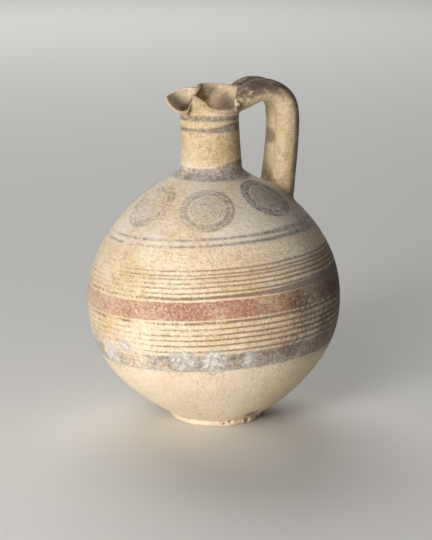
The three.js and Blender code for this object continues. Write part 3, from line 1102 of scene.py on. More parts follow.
class Sheet:
    """Adds shader nodes to one tree and joins them."""

    BLEND_FIRST = 6
    BLEND_SECOND = 7
    BLEND_RESULT = 2
    NOISE_MIDDLE = 0.5

    def __init__(self, tree: Tree) -> None:
        """Keep the tree that the nodes go in."""
        self.tree = tree

    def node(self, kind: str, **settings: object) -> bpy.types.Node:
        """Add a node and set its named properties.

        Args:
            kind: Type of the node.
            **settings: Value of each property.

        Returns:
            The node.
        """
        made = self.tree.nodes.new(kind)
        for name, value in settings.items():
            setattr(made, name, value)
        return made

    def feed(self, socket: Socket, value: object) -> None:
        """Join a socket to another, or set its own value.

        Args:
            socket: The input socket.
            value: An output socket, a value, or None to leave the socket alone.
        """
        if isinstance(value, Socket):
            self.tree.links.new(value, socket)
        elif value is not None:
            socket.default_value = value

    def math(self, operation: str, a: object, b: object = None, clamp: bool = False) -> Socket:
        """An operation on one or two numbers.

        Args:
            operation: Name of the operation.
            a: First number or socket.
            b: Second number or socket, where there is one.
            clamp: Whether the result is kept between 0 and 1.

        Returns:
            The result.
        """
        made = self.node("ShaderNodeMath", operation=operation, use_clamp=clamp)
        self.feed(made.inputs[0], a)
        self.feed(made.inputs[1], b)
        return made.outputs[0]

    def plus(self, a: object, b: object) -> Socket:
        """The sum of two numbers."""
        return self.math("ADD", a, b)

    def minus(self, a: object, b: object) -> Socket:
        """The first number less the second."""
        return self.math("SUBTRACT", a, b)

    def times(self, a: object, b: object) -> Socket:
        """The product of two numbers."""
        return self.math("MULTIPLY", a, b)

    def greater(self, a: object, b: object) -> Socket:
        """The greater of two numbers."""
        return self.math("MAXIMUM", a, b)

    def rise(self, value: object, low: float, high: float, to_low: object = 0.0,
             to_high: object = 1.0) -> Socket:
        """Smooth step of a number between two values, mapped onto two others.

        Args:
            value: The number to map.
            low: Where the step starts.
            high: Where the step ends.
            to_low: What the start is mapped onto.
            to_high: What the end is mapped onto.

        Returns:
            The mapped number.
        """
        made = self.node("ShaderNodeMapRange", interpolation_type="SMOOTHSTEP")
        for socket, given in zip(made.inputs, (value, low, high, to_low, to_high)):
            self.feed(socket, given)
        return made.outputs[0]

    def blend(self, share: object, a: object, b: object, way: str = "MIX") -> Socket:
        """Blend two colours.

        Args:
            share: How much of the second colour is laid over the first.
            a: First colour.
            b: Second colour.
            way: How the two are blended.

        Returns:
            The blended colour.
        """
        made = self.node("ShaderNodeMix", data_type="RGBA", blend_type=way)
        self.feed(made.inputs[0], share)
        self.feed(made.inputs[self.BLEND_FIRST], a)
        self.feed(made.inputs[self.BLEND_SECOND], b)
        return made.outputs[self.BLEND_RESULT]

    def noise(self, where: object, scale: float, detail: float, rough: float) -> Socket:
        """Fractal noise, 0 to 1.

        Args:
            where: The position that it is read at.
            scale: Its scale per metre.
            detail: Its levels of detail.
            rough: How strong the finer levels are.

        Returns:
            The noise.
        """
        made = self.node("ShaderNodeTexNoise")
        self.feed(made.inputs["Vector"], where)
        self.feed(made.inputs["Scale"], scale)
        self.feed(made.inputs["Detail"], detail)
        self.feed(made.inputs["Roughness"], rough)
        return made.outputs["Fac"]

    def waver(self, where: object, grain: Grain, reach: float) -> Socket:
        """A noise about zero, by (noise - 1/2) times its reach."""
        return self.times(self.minus(self.noise(where, *grain), self.NOISE_MIDDLE), reach)

    def stretch(self, where: object, factor: Triple) -> Socket:
        """Multiply a position by a factor along each axis.

        Args:
            where: The position.
            factor: The factor along x, y and z.

        Returns:
            The stretched position.
        """
        made = self.node("ShaderNodeVectorMath", operation="MULTIPLY")
        self.feed(made.inputs[0], where)
        self.feed(made.inputs[1], factor)
        return made.outputs[0]

    def distance(self, where: object, centre: object) -> Socket:
        """Distance of a position from a centre in millimetres, both being given in metres.

        Args:
            where: The position.
            centre: The centre.

        Returns:
            The distance.
        """
        gap = self.node("ShaderNodeVectorMath", operation="DISTANCE")
        self.feed(gap.inputs[0], where)
        self.feed(gap.inputs[1], centre)
        return self.times(gap.outputs["Value"], 1 / MM)

    def attribute(self, name: str) -> Socket:
        """A number kept on the mesh."""
        return self.node("ShaderNodeAttribute", attribute_name=name).outputs["Fac"]

    def place(self, group: Tree, **given: object) -> bpy.types.Node:
        """Place a node group.

        Args:
            group: The group.
            **given: What each input is fed, with underscores in the names read as spaces.

        Returns:
            The group's node.
        """
        made = self.node("ShaderNodeGroup", node_tree=group)
        for name, value in given.items():
            self.feed(made.inputs[name.replace("_", " ")], value)
        return made


class GroupSheet(Sheet):
    """A node group under construction, with named inputs and outputs."""

    KINDS = {"number": "NodeSocketFloat", "place": "NodeSocketVector", "colour": "NodeSocketColor"}

    def __init__(self, name: str, inputs: dict[str, str], outputs: dict[str, str]) -> None:
        """Make the group's sockets.

        Args:
            name: Name of the group.
            inputs: Kind of each named input.
            outputs: Kind of each named output.
        """
        super().__init__(bpy.data.node_groups.new(name, "ShaderNodeTree"))
        for names, way in ((inputs, "INPUT"), (outputs, "OUTPUT")):
            for socket, kind in names.items():
                self.tree.interface.new_socket(name=socket, in_out=way, socket_type=self.KINDS[kind])
        self.given = self.node("NodeGroupInput").outputs
        self.result = self.node("NodeGroupOutput").inputs


@dataclass(frozen=True)
class Band:
    """A painted band or line: the height of its middle and half its width, in millimetres."""

    middle: float
    half_width: float
    growth: float = 0.0
    strength: float = 1.0


@dataclass(frozen=True)
class Patch:
    """A roughly round area of stain, lime or crust: its middle and its radius in millimetres."""

    at: Triple
    radius: float


@dataclass(frozen=True)
class PaintScheme:
    """Where the paint lies. Heights are counted along the tilted wheel axis."""

    tilt: float = 0.0605
    right: Pair = (0.927, -0.375)
    axis_x: float = -2.2
    wobble: float = 1.3
    thin_lines: tuple[Band, ...] = (
        Band(131.2, 0.50, 0.5),
        Band(128.3, 0.48, 0.5),
        Band(126.1, 0.45, 0.5),
        Band(123.0, 0.50, 0.5),
        Band(120.0, 0.52, 0.5),
        Band(116.4, 0.58, 0.5),
        Band(113.0, 1.00, 1.5, 1.25),
        Band(95.3, 0.95, 0.2, 1.2),
        Band(90.7, 0.60, 0.5),
        Band(86.6, 0.65, 0.5),
        Band(82.9, 0.62, 0.5),
        Band(78.8, 0.66, 0.5),
        Band(74.3, 0.70, 0.6),
    )
    shoulder_lines: tuple[Band, ...] = (Band(150.6, 0.75, 1.5), Band(146.6, 0.80, 1.1))
    red: Band = Band(103.9, 6.5)
    grey: Band = Band(65.1, 6.5)
    neck_high: Band = Band(228.8, 2.1)
    neck_low: Band = Band(220.2, 1.5, 1.7)
    neck_low_rise: float = 1.9
    collar_top: float = 192.4
    collar_rise: float = 5.2
    collar_foot: Pair = (183.2, 185.6)
    neck_right: Pair = (-6.0, 20.0)
    ring_pitch: float = 2.2
    thin_reach: float = 12.3
    broad_ring: Band = Band(16.8, 3.3)
    roundels: tuple[Triple, ...] = (
        (-27.3, -49.1, 168.5),
        (-56.3, -12.4, 167.8),
        (22.0, -41.9, 173.4),
        (12.0, 50.0, 170.2),
        (-40.0, 37.6, 168.6),
    )


@dataclass(frozen=True)
class Soiling:
    """Where lime, crust and dark stains have settled on the jug."""

    lime: tuple[Patch, ...] = (
        Patch((-86.2, -39.2, 73.4), 8.0),
        Patch((-53.8, -74.4, 66.5), 12.0),
        Patch((-34.9, -83.9, 65.5), 12.0),
        Patch((-10.8, -90.3, 67.6), 9.0),
        Patch((-89.3, -18.8, 61.9), 11.0),
        Patch((30.0, 78.0, 66.0), 15.0),
        Patch((-60.0, 58.0, 78.0), 13.0),
    )
    crust: tuple[Patch, ...] = (
        Patch((32.4, -88.5, 94.4), 16.0),
        Patch((55.0, -74.0, 85.0), 18.0),
        Patch((22.0, -89.6, 73.6), 12.0),
        Patch((72.0, -58.0, 98.0), 18.0),
        Patch((76.0, 46.0, 80.0), 18.0),
    )
    stain: tuple[Patch, ...] = (
        Patch((45.2, 4.1, 209.8), 7.0),
        Patch((9.7, -43.1, 10.3), 7.0),
    )


@dataclass(frozen=True)
class Pigments:
    """Colours of the clay, its slip and the three paints."""

    cream: Colour = tint(228, 211, 180)
    pale: Colour = tint(234, 219, 194)
    buff: Colour = tint(212, 184, 142)
    straw: Colour = tint(216, 211, 199)
    ochre: Colour = tint(190, 154, 106)
    bare: Colour = tint(206, 176, 136)
    grey: Colour = tint(112, 104, 106)
    black: Colour = tint(62, 50, 54)
    brown: Colour = tint(108, 82, 56)
    red: Colour = tint(140, 80, 62)
    # Painted shade: plum that darkens the right of the belly and of the red band
    shade_plum: Colour = tint(90, 66, 60)
    bloom: Colour = tint(222, 214, 206)
    lilac: Colour = tint(216, 204, 192)
    dirt: Colour = tint(92, 70, 48)


@dataclass(frozen=True)
class Spot:
    """The numbers that say where on the jug a point of the surface is."""

    where: Socket
    height: Socket
    right: Socket
    level: Socket
    inside: Socket
    outside: Socket
    on_handle: Socket
    pot: Socket
    # Rises towards the right, away from the light: whole paint there, and wider lines as painted shade
    whole_paint_and_shade_side: Socket


@dataclass(frozen=True)
class WheelPlace:
    """Where a point lies on the tilted wheel, with the wobble of a hand held brush."""

    wobble: Grain = Grain(26.0)

    def group(self, plan: PaintScheme) -> Tree:
        """Group: height along the tilted axis, place to the right and level height, in millimetres.

        Args:
            plan: Where the paint lies.

        Returns:
            The group.
        """
        outputs = {"Height": "number", "Right": "number", "Level": "number"}
        sheet = GroupSheet("wheel height", {"Position": "place"}, outputs)
        where = sheet.given["Position"]
        parts = sheet.node("ShaderNodeSeparateXYZ")
        sheet.feed(parts.inputs[0], where)
        x, y, z = (sheet.times(part, 1 / MM) for part in parts.outputs)
        out = sheet.minus(x, plan.axis_x)
        right = sheet.plus(sheet.times(out, plan.right[0]), sheet.times(y, plan.right[1]))
        wobble = sheet.waver(where, self.wobble, plan.wobble)
        flat = sheet.minus(z, sheet.times(right, plan.tilt))
        sheet.feed(sheet.result["Height"], sheet.plus(flat, wobble))
        sheet.feed(sheet.result["Right"], right)
        sheet.feed(sheet.result["Level"], sheet.plus(z, wobble))
        return sheet.tree


@dataclass(frozen=True)
class BrushLine:
    """One line drawn round the jug with a brush."""

    fade: Ramp = Ramp(-1.0, 1.0, 1.0, 0.0)

    def group(self) -> Tree:
        """Group: the line's mask, 1 within half its width of its middle, falling off over its softness.

        Returns:
            The group.
        """
        names = {"Height": "number", "Middle": "number", "Half Width": "number", "Softness": "number"}
        sheet = GroupSheet("painted line", names, {"Mask": "number"})
        gap = sheet.math("ABSOLUTE", sheet.minus(sheet.given["Height"], sheet.given["Middle"]))
        over = sheet.minus(gap, sheet.given["Half Width"])
        soft = sheet.math("DIVIDE", over, sheet.given["Softness"])
        sheet.feed(sheet.result["Mask"], sheet.rise(soft, *self.fade))
        return sheet.tree


@dataclass(frozen=True)
class PaintWear:
    """Paint worn off in broad patches, in streaks along the wheel and in grains."""

    patch: Grain = Grain(42.0, 3.0, 0.6)
    patch_share: float = 0.30
    streak: Grain = Grain(110.0)
    streak_stretch: Triple = (1.0, 1.0, 7.0)
    streak_share: float = 0.2
    grain: Grain = Grain(430.0, 4.0, 0.8)
    grain_share: float = 0.5
    kept: Ramp = Ramp(-0.07, 0.08)

    def group(self) -> Tree:
        """Group: how much paint is left, where the three noises together stand above the loss.

        Returns:
            The group.
        """
        sheet = GroupSheet("paint wear", {"Position": "place", "Loss": "number"}, {"Kept": "number"})
        where = sheet.given["Position"]
        patch = sheet.times(sheet.noise(where, *self.patch), self.patch_share)
        drawn = sheet.stretch(where, self.streak_stretch)
        streak = sheet.times(sheet.noise(drawn, *self.streak), self.streak_share)
        grain = sheet.times(sheet.noise(where, *self.grain), self.grain_share)
        left = sheet.minus(sheet.plus(sheet.plus(patch, streak), grain), sheet.given["Loss"])
        sheet.feed(sheet.result["Kept"], sheet.rise(left, *self.kept))
        return sheet.tree


@dataclass(frozen=True)
class SoiledPatch:
    """A round patch of lime, crust or stain with a ragged edge."""

    edge: Grain = Grain(95.0, 4.0, 0.65)
    edge_reach: float = 1.8
    fade: Ramp = Ramp(0.45, 1.15, 1.0, 0.0)

    def group(self) -> Tree:
        """Group: the patch's mask, by the distance from its middle as a share of its radius, plus a noise.

        Returns:
            The group.
        """
        inputs = {"Position": "place", "Centre": "place", "Radius": "number"}
        sheet = GroupSheet("soiled patch", inputs, {"Mask": "number"})
        where = sheet.given["Position"]
        share = sheet.math("DIVIDE", sheet.distance(where, sheet.given["Centre"]), sheet.given["Radius"])
        ragged = sheet.waver(where, self.edge, self.edge_reach)
        sheet.feed(sheet.result["Mask"], sheet.rise(sheet.plus(share, ragged), *self.fade))
        return sheet.tree


@dataclass(frozen=True)
class LimeBloom:
    """Whitish lime from the soil, a thin haze in broad clouds and rough crusts where there is much of it."""

    cloud: Grain = Grain(30.0, 4.0, 0.62)
    cloud_share: float = 0.5
    fleck: Grain = Grain(300.0, 5.0, 0.78)
    drip: Grain = Grain(120.0, 3.0, 0.6)
    drip_stretch: Triple = (1.0, 1.0, 0.4)
    amount_share: float = 0.3
    haze_fleck: float = 0.36
    haze: Ramp = Ramp(0.46, 0.76)
    crust_fleck: float = 0.52
    crust_drip: float = 0.2
    crust: Ramp = Ramp(0.79, 0.90)

    def group(self) -> Tree:
        """Group: masks of the haze and of the crust for a given amount of lime.

        Returns:
            The group.
        """
        inputs = {"Position": "place", "Amount": "number"}
        sheet = GroupSheet("lime bloom", inputs, {"Haze": "number", "Crust": "number"})
        where = sheet.given["Position"]
        cloud = sheet.times(sheet.noise(where, *self.cloud), self.cloud_share)
        fleck = sheet.noise(where, *self.fleck)
        drip = sheet.noise(sheet.stretch(where, self.drip_stretch), *self.drip)
        much = sheet.plus(cloud, sheet.times(sheet.given["Amount"], self.amount_share))
        haze = sheet.plus(much, sheet.times(fleck, self.haze_fleck))
        sheet.feed(sheet.result["Haze"], sheet.rise(haze, *self.haze))
        lumps = sheet.plus(sheet.times(fleck, self.crust_fleck), sheet.times(drip, self.crust_drip))
        sheet.feed(sheet.result["Crust"], sheet.rise(sheet.plus(much, lumps), *self.crust))
        return sheet.tree


@dataclass(frozen=True)
class CompassRings:
    """Concentric rings drawn with a compass of many brushes, closed in by one broad ring."""

    drift: Grain = Grain(75.0, 4.0, 0.65)
    drift_reach: float = 2.6
    wave: Ramp = Ramp(-0.3, 0.6)
    wave_share: float = 0.36
    thin_fade: float = 1.0
    broad_fade: Ramp = Ramp(-0.9, 0.9, 1.0, 0.0)
    broad_least: float = 0.5
    split_out: float = 0.6
    split: Ramp = Ramp(0.15, 0.9, 0.6, 1.0)

    def group(self, plan: PaintScheme) -> Tree:
        """Group: the rings' mask by the chord distance r from the compass point.

        The thin rings are where cos(2 pi r / pitch) is high, and a thin gap splits the broad ring.

        Args:
            plan: Pitch and reach of the rings.

        Returns:
            The group.
        """
        inputs = {"Position": "place", "Centre": "place", "Fill": "number"}
        sheet = GroupSheet("compass rings", inputs, {"Mask": "number"})
        where = sheet.given["Position"]
        fill = sheet.given["Fill"]
        drift = sheet.waver(where, self.drift, self.drift_reach)
        radius = sheet.plus(sheet.distance(where, sheet.given["Centre"]), drift)
        wave = sheet.math("COSINE", sheet.times(radius, FULL_TURN / plan.ring_pitch))
        wave = sheet.times(sheet.rise(wave, *self.wave), self.wave_share)
        within = sheet.rise(radius, plan.thin_reach, plan.thin_reach + self.thin_fade, 1.0, 0.0)
        thin = sheet.times(within, sheet.plus(wave, fill))
        away = sheet.math("ABSOLUTE", sheet.minus(radius, plan.broad_ring.middle))
        broad = sheet.rise(sheet.minus(away, plan.broad_ring.half_width), *self.broad_fade)
        broad = sheet.times(broad, sheet.plus(fill, self.broad_least))
        split = sheet.math("ABSOLUTE", sheet.minus(radius, plan.broad_ring.middle + self.split_out))
        broad = sheet.times(broad, sheet.rise(split, *self.split))
        sheet.feed(sheet.result["Mask"], sheet.greater(thin, broad))
        return sheet.tree


@dataclass(frozen=True)
class ClayGround:
    """The slip, from cream to buff, with ochre stains, wheel marks, mottles, grains and small pits."""

    broad: Grain = Grain(17.0, 5.0, 0.65)
    broad_buff: Ramp = Ramp(0.38, 0.62)
    stain: Grain = Grain(11.0, 5.0, 0.65)
    stain_ochre: Ramp = Ramp(0.52, 0.70, 0.0, 0.5)
    bare_share: float = 0.6
    wheel: Grain = Grain(42.0, 3.0, 0.6)
    wheel_stretch: Triple = (1.0, 1.0, 24.0)
    wheel_ochre: Ramp = Ramp(0.5, 0.72, 0.0, 0.3)
    mottle: Grain = Grain(330.0, 4.0, 0.7)
    mottle_dark: Ramp = Ramp(0.50, 0.68, 0.0, 0.30)
    mottle_pale: Ramp = Ramp(0.35, 0.47, 0.45, 0.0)
    grain: Grain = Grain(800.0, 3.0, 0.8)
    grain_dark: Ramp = Ramp(0.50, 0.68, 0.0, 0.40)
    grain_pale: Ramp = Ramp(0.35, 0.48, 0.45, 0.0)
    pit_scale: float = 300.0
    pit: Ramp = Ramp(0.08, 0.24, 1.0, 0.0)
    pit_clusters: Grain = Grain(120.0)
    pit_sparse: Ramp = Ramp(0.56, 0.64)
    pit_dark: float = 0.5
    grain_relief: float = 0.5
    wheel_relief: float = 0.5
    mottle_relief: float = 0.9
    pit_relief: float = 0.7

    def group(self, ink: Pigments) -> Tree:
        """Group: the slip's colour and its fine relief.

        Args:
            ink: Colours of clay, slip and dirt.

        Returns:
            The group.
        """
        outputs = {"Colour": "colour", "Relief": "number"}
        sheet = GroupSheet("clay ground", {"Position": "place", "Bareness": "number"}, outputs)
        where = sheet.given["Position"]
        broad = sheet.rise(sheet.noise(where, *self.broad), *self.broad_buff)
        colour = sheet.blend(broad, ink.cream, ink.buff)
        stain = sheet.rise(sheet.noise(where, *self.stain), *self.stain_ochre)
        colour = sheet.blend(stain, colour, ink.ochre)
        colour = sheet.blend(sheet.times(sheet.given["Bareness"], self.bare_share), colour, ink.bare)
        wheel = sheet.noise(sheet.stretch(where, self.wheel_stretch), *self.wheel)
        colour = sheet.blend(sheet.rise(wheel, *self.wheel_ochre), colour, ink.ochre)
        mottle = sheet.noise(where, *self.mottle)
        grain = sheet.noise(where, *self.grain)
        colour = sheet.blend(sheet.rise(mottle, *self.mottle_dark), colour, ink.dirt)
        colour = sheet.blend(sheet.rise(mottle, *self.mottle_pale), colour, ink.bloom)
        colour = sheet.blend(sheet.rise(grain, *self.grain_dark), colour, ink.dirt)
        colour = sheet.blend(sheet.rise(grain, *self.grain_pale), colour, ink.bloom)
        pits = sheet.node("ShaderNodeTexVoronoi", feature="F1")
        sheet.feed(pits.inputs["Vector"], where)
        sheet.feed(pits.inputs["Scale"], self.pit_scale)
        dot = sheet.rise(pits.outputs["Distance"], *self.pit)
        sparse = sheet.times(dot, sheet.rise(sheet.noise(where, *self.pit_clusters), *self.pit_sparse))
        colour = sheet.blend(sheet.times(sparse, self.pit_dark), colour, ink.dirt)
        relief = sheet.plus(sheet.times(grain, self.grain_relief), sheet.times(wheel, self.wheel_relief))
        relief = sheet.plus(relief, sheet.times(mottle, self.mottle_relief))
        relief = sheet.minus(relief, sheet.times(sparse, self.pit_relief))
        sheet.feed(sheet.result["Relief"], relief)
        sheet.feed(sheet.result["Colour"], colour)
        return sheet.tree


@dataclass(frozen=True)
class GroundTones:
    """Broad tones of the bare clay: yellow neck and handle, pale base and lilac shoulder."""

    neck_yellow: Ramp = Ramp(190.0, 200.0, 0.0, 0.5)
    mouth_yellow: Ramp = Ramp(226.0, 236.0, 0.0, 0.85)
    handle_yellow: float = 0.9
    base_pale: Ramp = Ramp(50.0, 66.0, 1.0, 0.0)
    pale_cover: float = 0.45
    lilac_foot: Ramp = Ramp(141.0, 151.0)
    lilac_top: Ramp = Ramp(186.0, 196.0, 1.0, 0.0)
    lilac_cloud: Grain = Grain(28.0, 4.0, 0.62)
    lilac_cut: Ramp = Ramp(0.36, 0.56, 0.1, 0.75)
    lilac_cover: float = 0.85


@dataclass(frozen=True)
class Brushwork:
    """How thickly each paint lies on the pot and how much of it is lost, by place; thicker, darker paint on
    the right is partly painted shade.
    """

    # Rises towards the right, away from the light: whole paint there, and wider lines as painted shade
    whole_paint_and_shade_side: Ramp = Ramp(5.0, 82.0)
    red_loss: Ramp = Ramp(-88.0, -36.0, 0.56, 0.45)
    red_softness: float = 0.5
    red_grain: Grain = Grain(620.0, 4.0, 0.75)
    red_grain_step: Pair = (0.38, 0.52)
    # Painted shade: fewer pale grains and a plum red towards the right, away from the light
    red_bare_grain_and_shade: Ramp = Ramp(20.0, 70.0, 0.45, 0.75)
    red_kept: float = 0.46
    red_least: float = 0.38
    red_to_plum_shade: Ramp = Ramp(30.0, 75.0)
    line_loss: Ramp = Ramp(-70.0, 60.0, 0.52, 0.39)
    line_softness: float = 0.55
    line_cover: float = 0.78
    grey_softness: float = 1.0
    neck_high_softness: float = 0.9
    neck_low_softness: float = 0.8
    collar_fade: Ramp = Ramp(-0.8, 0.8, 1.0, 0.0)
    shoulder_softness: float = 0.8
    shoulder_cover: float = 0.9
    roundel_fill: Ramp = Ramp(-14.0, 40.0, 0.2, 0.55)
    roundel_fill_left: Ramp = Ramp(-60.0, -30.0, 0.36, 0.0)
    handle_strip: Ramp = Ramp(0.30, 0.44)
    strip_cover: float = 0.85
    rim_edge: Ramp = Ramp(1.6, 3.2, 0.4, 0.0)
    dark_loss: Ramp = Ramp(-60.0, 60.0, 0.49, 0.38)
    dark_fleck: Grain = Grain(380.0, 5.0, 0.75)
    dark_black: Ramp = Ramp(0.46, 0.60)
    dark_thin: Ramp = Ramp(0.36, 0.52, 0.5, 1.0)
    dark_cover: float = 0.78


@dataclass(frozen=True)
class HandleStreaks:
    """The wavy line beside the handle's outer strip, in shares of half a roll, and the top's dark streaks."""

    sway: Grain = Grain(70.0)
    sway_reach: float = 0.5
    edge: Band = Band(0.30, 0.05)
    edge_softness: float = 0.06
    edge_start: Ramp = Ramp(40.0, 60.0)
    edge_cover: float = 0.65
    top_start: Ramp = Ramp(-2.0, 6.0)
    top_end: Ramp = Ramp(34.0, 56.0, 1.0, 0.0)
    top_side: Ramp = Ramp(-0.45, 0.05)
    streak: Grain = Grain(210.0, 4.0, 0.7)
    streak_stretch: Triple = (0.32, 1.7, 1.0)
    streak_cut: Ramp = Ramp(0.40, 0.54)
    streak_black: Ramp = Ramp(0.46, 0.62)
    streak_cover: float = 0.82


@dataclass(frozen=True)
class SoilLayers:
    """How much lime, crust and dirt lies on each part of the jug, and the painted shade with grime on the
    right.
    """

    upper_foot: Ramp = Ramp(140.0, 152.0)
    upper_top: Ramp = Ramp(190.0, 204.0, 1.0, 0.0)
    upper_amount: float = 0.30
    patch_amount: float = 0.62
    low_foot: Ramp = Ramp(52.0, 60.0)
    low_top: Ramp = Ramp(72.0, 84.0, 1.0, 0.0)
    low_amount: float = 0.35
    left_amount: Ramp = Ramp(-88.0, -52.0, 0.35, 0.0)
    right_side: Ramp = Ramp(35.0, 70.0)
    right_foot: Ramp = Ramp(118.0, 136.0)
    right_amount: float = 0.45
    haze_cover: float = 0.5
    speck: Grain = Grain(300.0, 4.0, 0.75)
    white_speck: Ramp = Ramp(0.40, 0.54, 0.35, 1.0)
    white_cover: float = 0.75
    # Painted shade with some grime: the right of the belly, away from the light, darkens towards plum
    shade_grime_side: Ramp = Ramp(48.0, 88.0)
    shade_grime_top: Ramp = Ramp(120.0, 136.0, 1.0, 0.0)
    shade_grime_foot: Ramp = Ramp(50.0, 58.0)
    shade_grime_speck: Ramp = Ramp(0.38, 0.56, 0.35, 0.8)
    shade_grime_cover: float = 0.55
    brown_speck: Ramp = Ramp(0.44, 0.54)
    brown_cover: float = 0.4
    yellow_speck: Ramp = Ramp(0.34, 0.40, 0.55, 0.0)
    stain_cover: float = 0.6
    # Darker in the small hollows and lighter on the small ridges that the weathering made
    hollow: Ramp = Ramp(0.25, 0.9)
    hollow_cover: float = 0.6
    ridge: Ramp = Ramp(-0.85, -0.3, 1.0, 0.0)
    ridge_cover: float = 0.35


@dataclass(frozen=True)
class ClaySurface:
    """Relief, roughness and gloss of the finished surface, with the bump's depth in metres."""

    white_relief: float = 0.8
    brown_relief: float = 1.2
    paint_relief: float = 0.12
    bump_strength: float = 0.8
    bump_depth: float = 0.0011
    roughness: float = 0.8
    chalk_roughness: float = 0.12
    paint_smoothness: float = 0.08
    specular: float = 0.25


class PaintedClay:
    """The one material of the jug: fired clay with worn matt paint, lime bloom and soil in its hollows."""

    def __init__(self, scheme: PaintScheme, soiling: Soiling, pigments: Pigments) -> None:
        """Keep the plan, the places and the colours, and build the groups of a line and of the wear.

        Args:
            scheme: Where the paint lies.
            soiling: Where lime, crust and stains lie.
            pigments: The colours.
        """
        self.scheme = scheme
        self.soiling = soiling
        self.pigments = pigments
        self.tones = GroundTones()
        self.brush = Brushwork()
        self.streaks = HandleStreaks()
        self.layers = SoilLayers()
        self.surface = ClaySurface()
        self.line = BrushLine().group()
        self.wear = PaintWear().group()

    def spot(self, sheet: Sheet) -> Spot:
        """Read the place of a point from its position and its stored numbers.

        Args:
            sheet: The material's sheet.

        Returns:
            The sockets that the paint is laid out by.
        """
        where = sheet.node("ShaderNodeTexCoord").outputs["Object"]
        found = sheet.place(WheelPlace().group(self.scheme), Position=where).outputs
        inside = sheet.attribute("inside")
        on_handle = sheet.attribute("on_handle")
        outside = sheet.minus(1.0, inside)
        pot = sheet.times(outside, sheet.minus(1.0, on_handle))
        whole_paint_and_shade_side = sheet.rise(found["Right"], *self.brush.whole_paint_and_shade_side)
        return Spot(where, found["Height"], found["Right"], found["Level"], inside, outside, on_handle, pot,
                    whole_paint_and_shade_side)

    def kept(self, sheet: Sheet, spot: Spot, loss: Ramp) -> Socket:
        """How much of a paint is left, for a loss that changes from left to right."""
        return sheet.place(self.wear, Position=spot.where, Loss=sheet.rise(spot.right, *loss)).outputs[0]

    def band(self, sheet: Sheet, height: object, band: Band, softness: float) -> Socket:
        """Mask of one band of even width.

        Args:
            sheet: The material's sheet.
            height: The height that the band is laid out by.
            band: Middle and half width of the band.
            softness: How softly each edge fades.

        Returns:
            The mask.
        """
        drawn = sheet.place(self.line, Height=height, Middle=band.middle, Half_Width=band.half_width,
                            Softness=softness)
        return drawn.outputs[0]

    def lines(self, sheet: Sheet, spot: Spot, bands: tuple[Band, ...], softness: float) -> Socket:
        """The strongest mask of several bands, each widening towards the right, where the paint is whole and
        the wider lines also paint in shade.

        Args:
            sheet: The material's sheet.
            spot: Where on the jug the point is.
            bands: The bands.
            softness: How softly each edge fades, in millimetres.

        Returns:
            The mask.
        """
        total = None
        for band in bands:
            grown = sheet.times(sheet.plus(sheet.times(spot.whole_paint_and_shade_side, band.growth), 1.0), band.half_width)
            drawn = sheet.place(self.line, Height=spot.height, Middle=band.middle, Half_Width=grown,
                                Softness=softness)
            mask = sheet.times(drawn.outputs[0], band.strength)
            total = mask if total is None else sheet.greater(total, mask)
        return total

    def patches(self, sheet: Sheet, group: Tree, spot: Spot,
                places: tuple[Patch, ...]) -> Socket:
        """The strongest mask of several soiled patches on the outside.

        Args:
            sheet: The material's sheet.
            group: The group of one patch.
            spot: Where on the jug the point is.
            places: The patches.

        Returns:
            The mask.
        """
        total = None
        for patch in places:
            centre = tuple(c * MM for c in patch.at)
            mask = sheet.place(group, Position=spot.where, Centre=centre, Radius=patch.radius).outputs[0]
            total = mask if total is None else sheet.greater(total, mask)
        return sheet.times(total, spot.outside)

    def clay_tones(self, sheet: Sheet, spot: Spot, colour: Socket) -> Socket:
        """Lay the broad tones over the clay: yellow, pale and lilac.

        Args:
            sheet: The material's sheet.
            spot: Where on the jug the point is.
            colour: The clay's colour.

        Returns:
            The toned colour.
        """
        tones = self.tones
        ink = self.pigments
        yellow = sheet.rise(spot.level, *tones.neck_yellow)
        yellow = sheet.greater(yellow, sheet.rise(spot.level, *tones.mouth_yellow))
        yellow = sheet.times(yellow, spot.outside)
        yellow = sheet.greater(yellow, sheet.times(spot.on_handle, tones.handle_yellow))
        colour = sheet.blend(yellow, colour, ink.straw, "MULTIPLY")
        pale = sheet.times(sheet.rise(spot.height, *tones.base_pale), spot.pot)
        colour = sheet.blend(sheet.times(pale, tones.pale_cover), colour, ink.pale)
        lilac = sheet.rise(spot.height, *tones.lilac_foot)
        lilac = sheet.times(lilac, sheet.rise(spot.level, *tones.lilac_top))
        cloud = sheet.noise(spot.where, *tones.lilac_cloud)
        lilac = sheet.times(lilac, sheet.rise(cloud, *tones.lilac_cut))
        cover = sheet.times(spot.pot, tones.lilac_cover)
        return sheet.blend(sheet.times(lilac, cover), colour, ink.lilac)

    def belly_paint(self, sheet: Sheet, spot: Spot, colour: Socket) -> Socket:
        """Lay the red band and the thin brown lines over the clay, darker towards the right as painted shade.

        Args:
            sheet: The material's sheet.
            spot: Where on the jug the point is.
            colour: The clay's colour.

        Returns:
            The colour with the lines on it.
        """
        brush = self.brush
        ink = self.pigments
        kept = self.kept(sheet, spot, brush.red_loss)
        band = self.band(sheet, spot.height, self.scheme.red, brush.red_softness)
        # Painted shade: fewer pale grains in the red towards the right
        bare_grain_and_shade = sheet.rise(spot.right, *brush.red_bare_grain_and_shade)
        grain = sheet.noise(spot.where, *brush.red_grain)
        grain = sheet.rise(grain, *brush.red_grain_step, bare_grain_and_shade, 1.0)
        cover = sheet.plus(sheet.times(kept, brush.red_kept), brush.red_least)
        red = sheet.times(sheet.times(sheet.times(band, spot.pot), cover), grain)
        # Painted shade: the red turns plum towards the right, away from the light
        shaded_brick = sheet.blend(sheet.rise(spot.right, *brush.red_to_plum_shade), ink.red, ink.shade_plum)
        colour = sheet.blend(red, colour, shaded_brick)
        thin = sheet.times(self.lines(sheet, spot, self.scheme.thin_lines, brush.line_softness), spot.pot)
        thin = sheet.math("MULTIPLY", thin, self.kept(sheet, spot, brush.line_loss), clamp=True)
        shade = sheet.blend(spot.whole_paint_and_shade_side, ink.brown, ink.grey)
        return sheet.blend(sheet.times(thin, brush.line_cover), colour, shade)

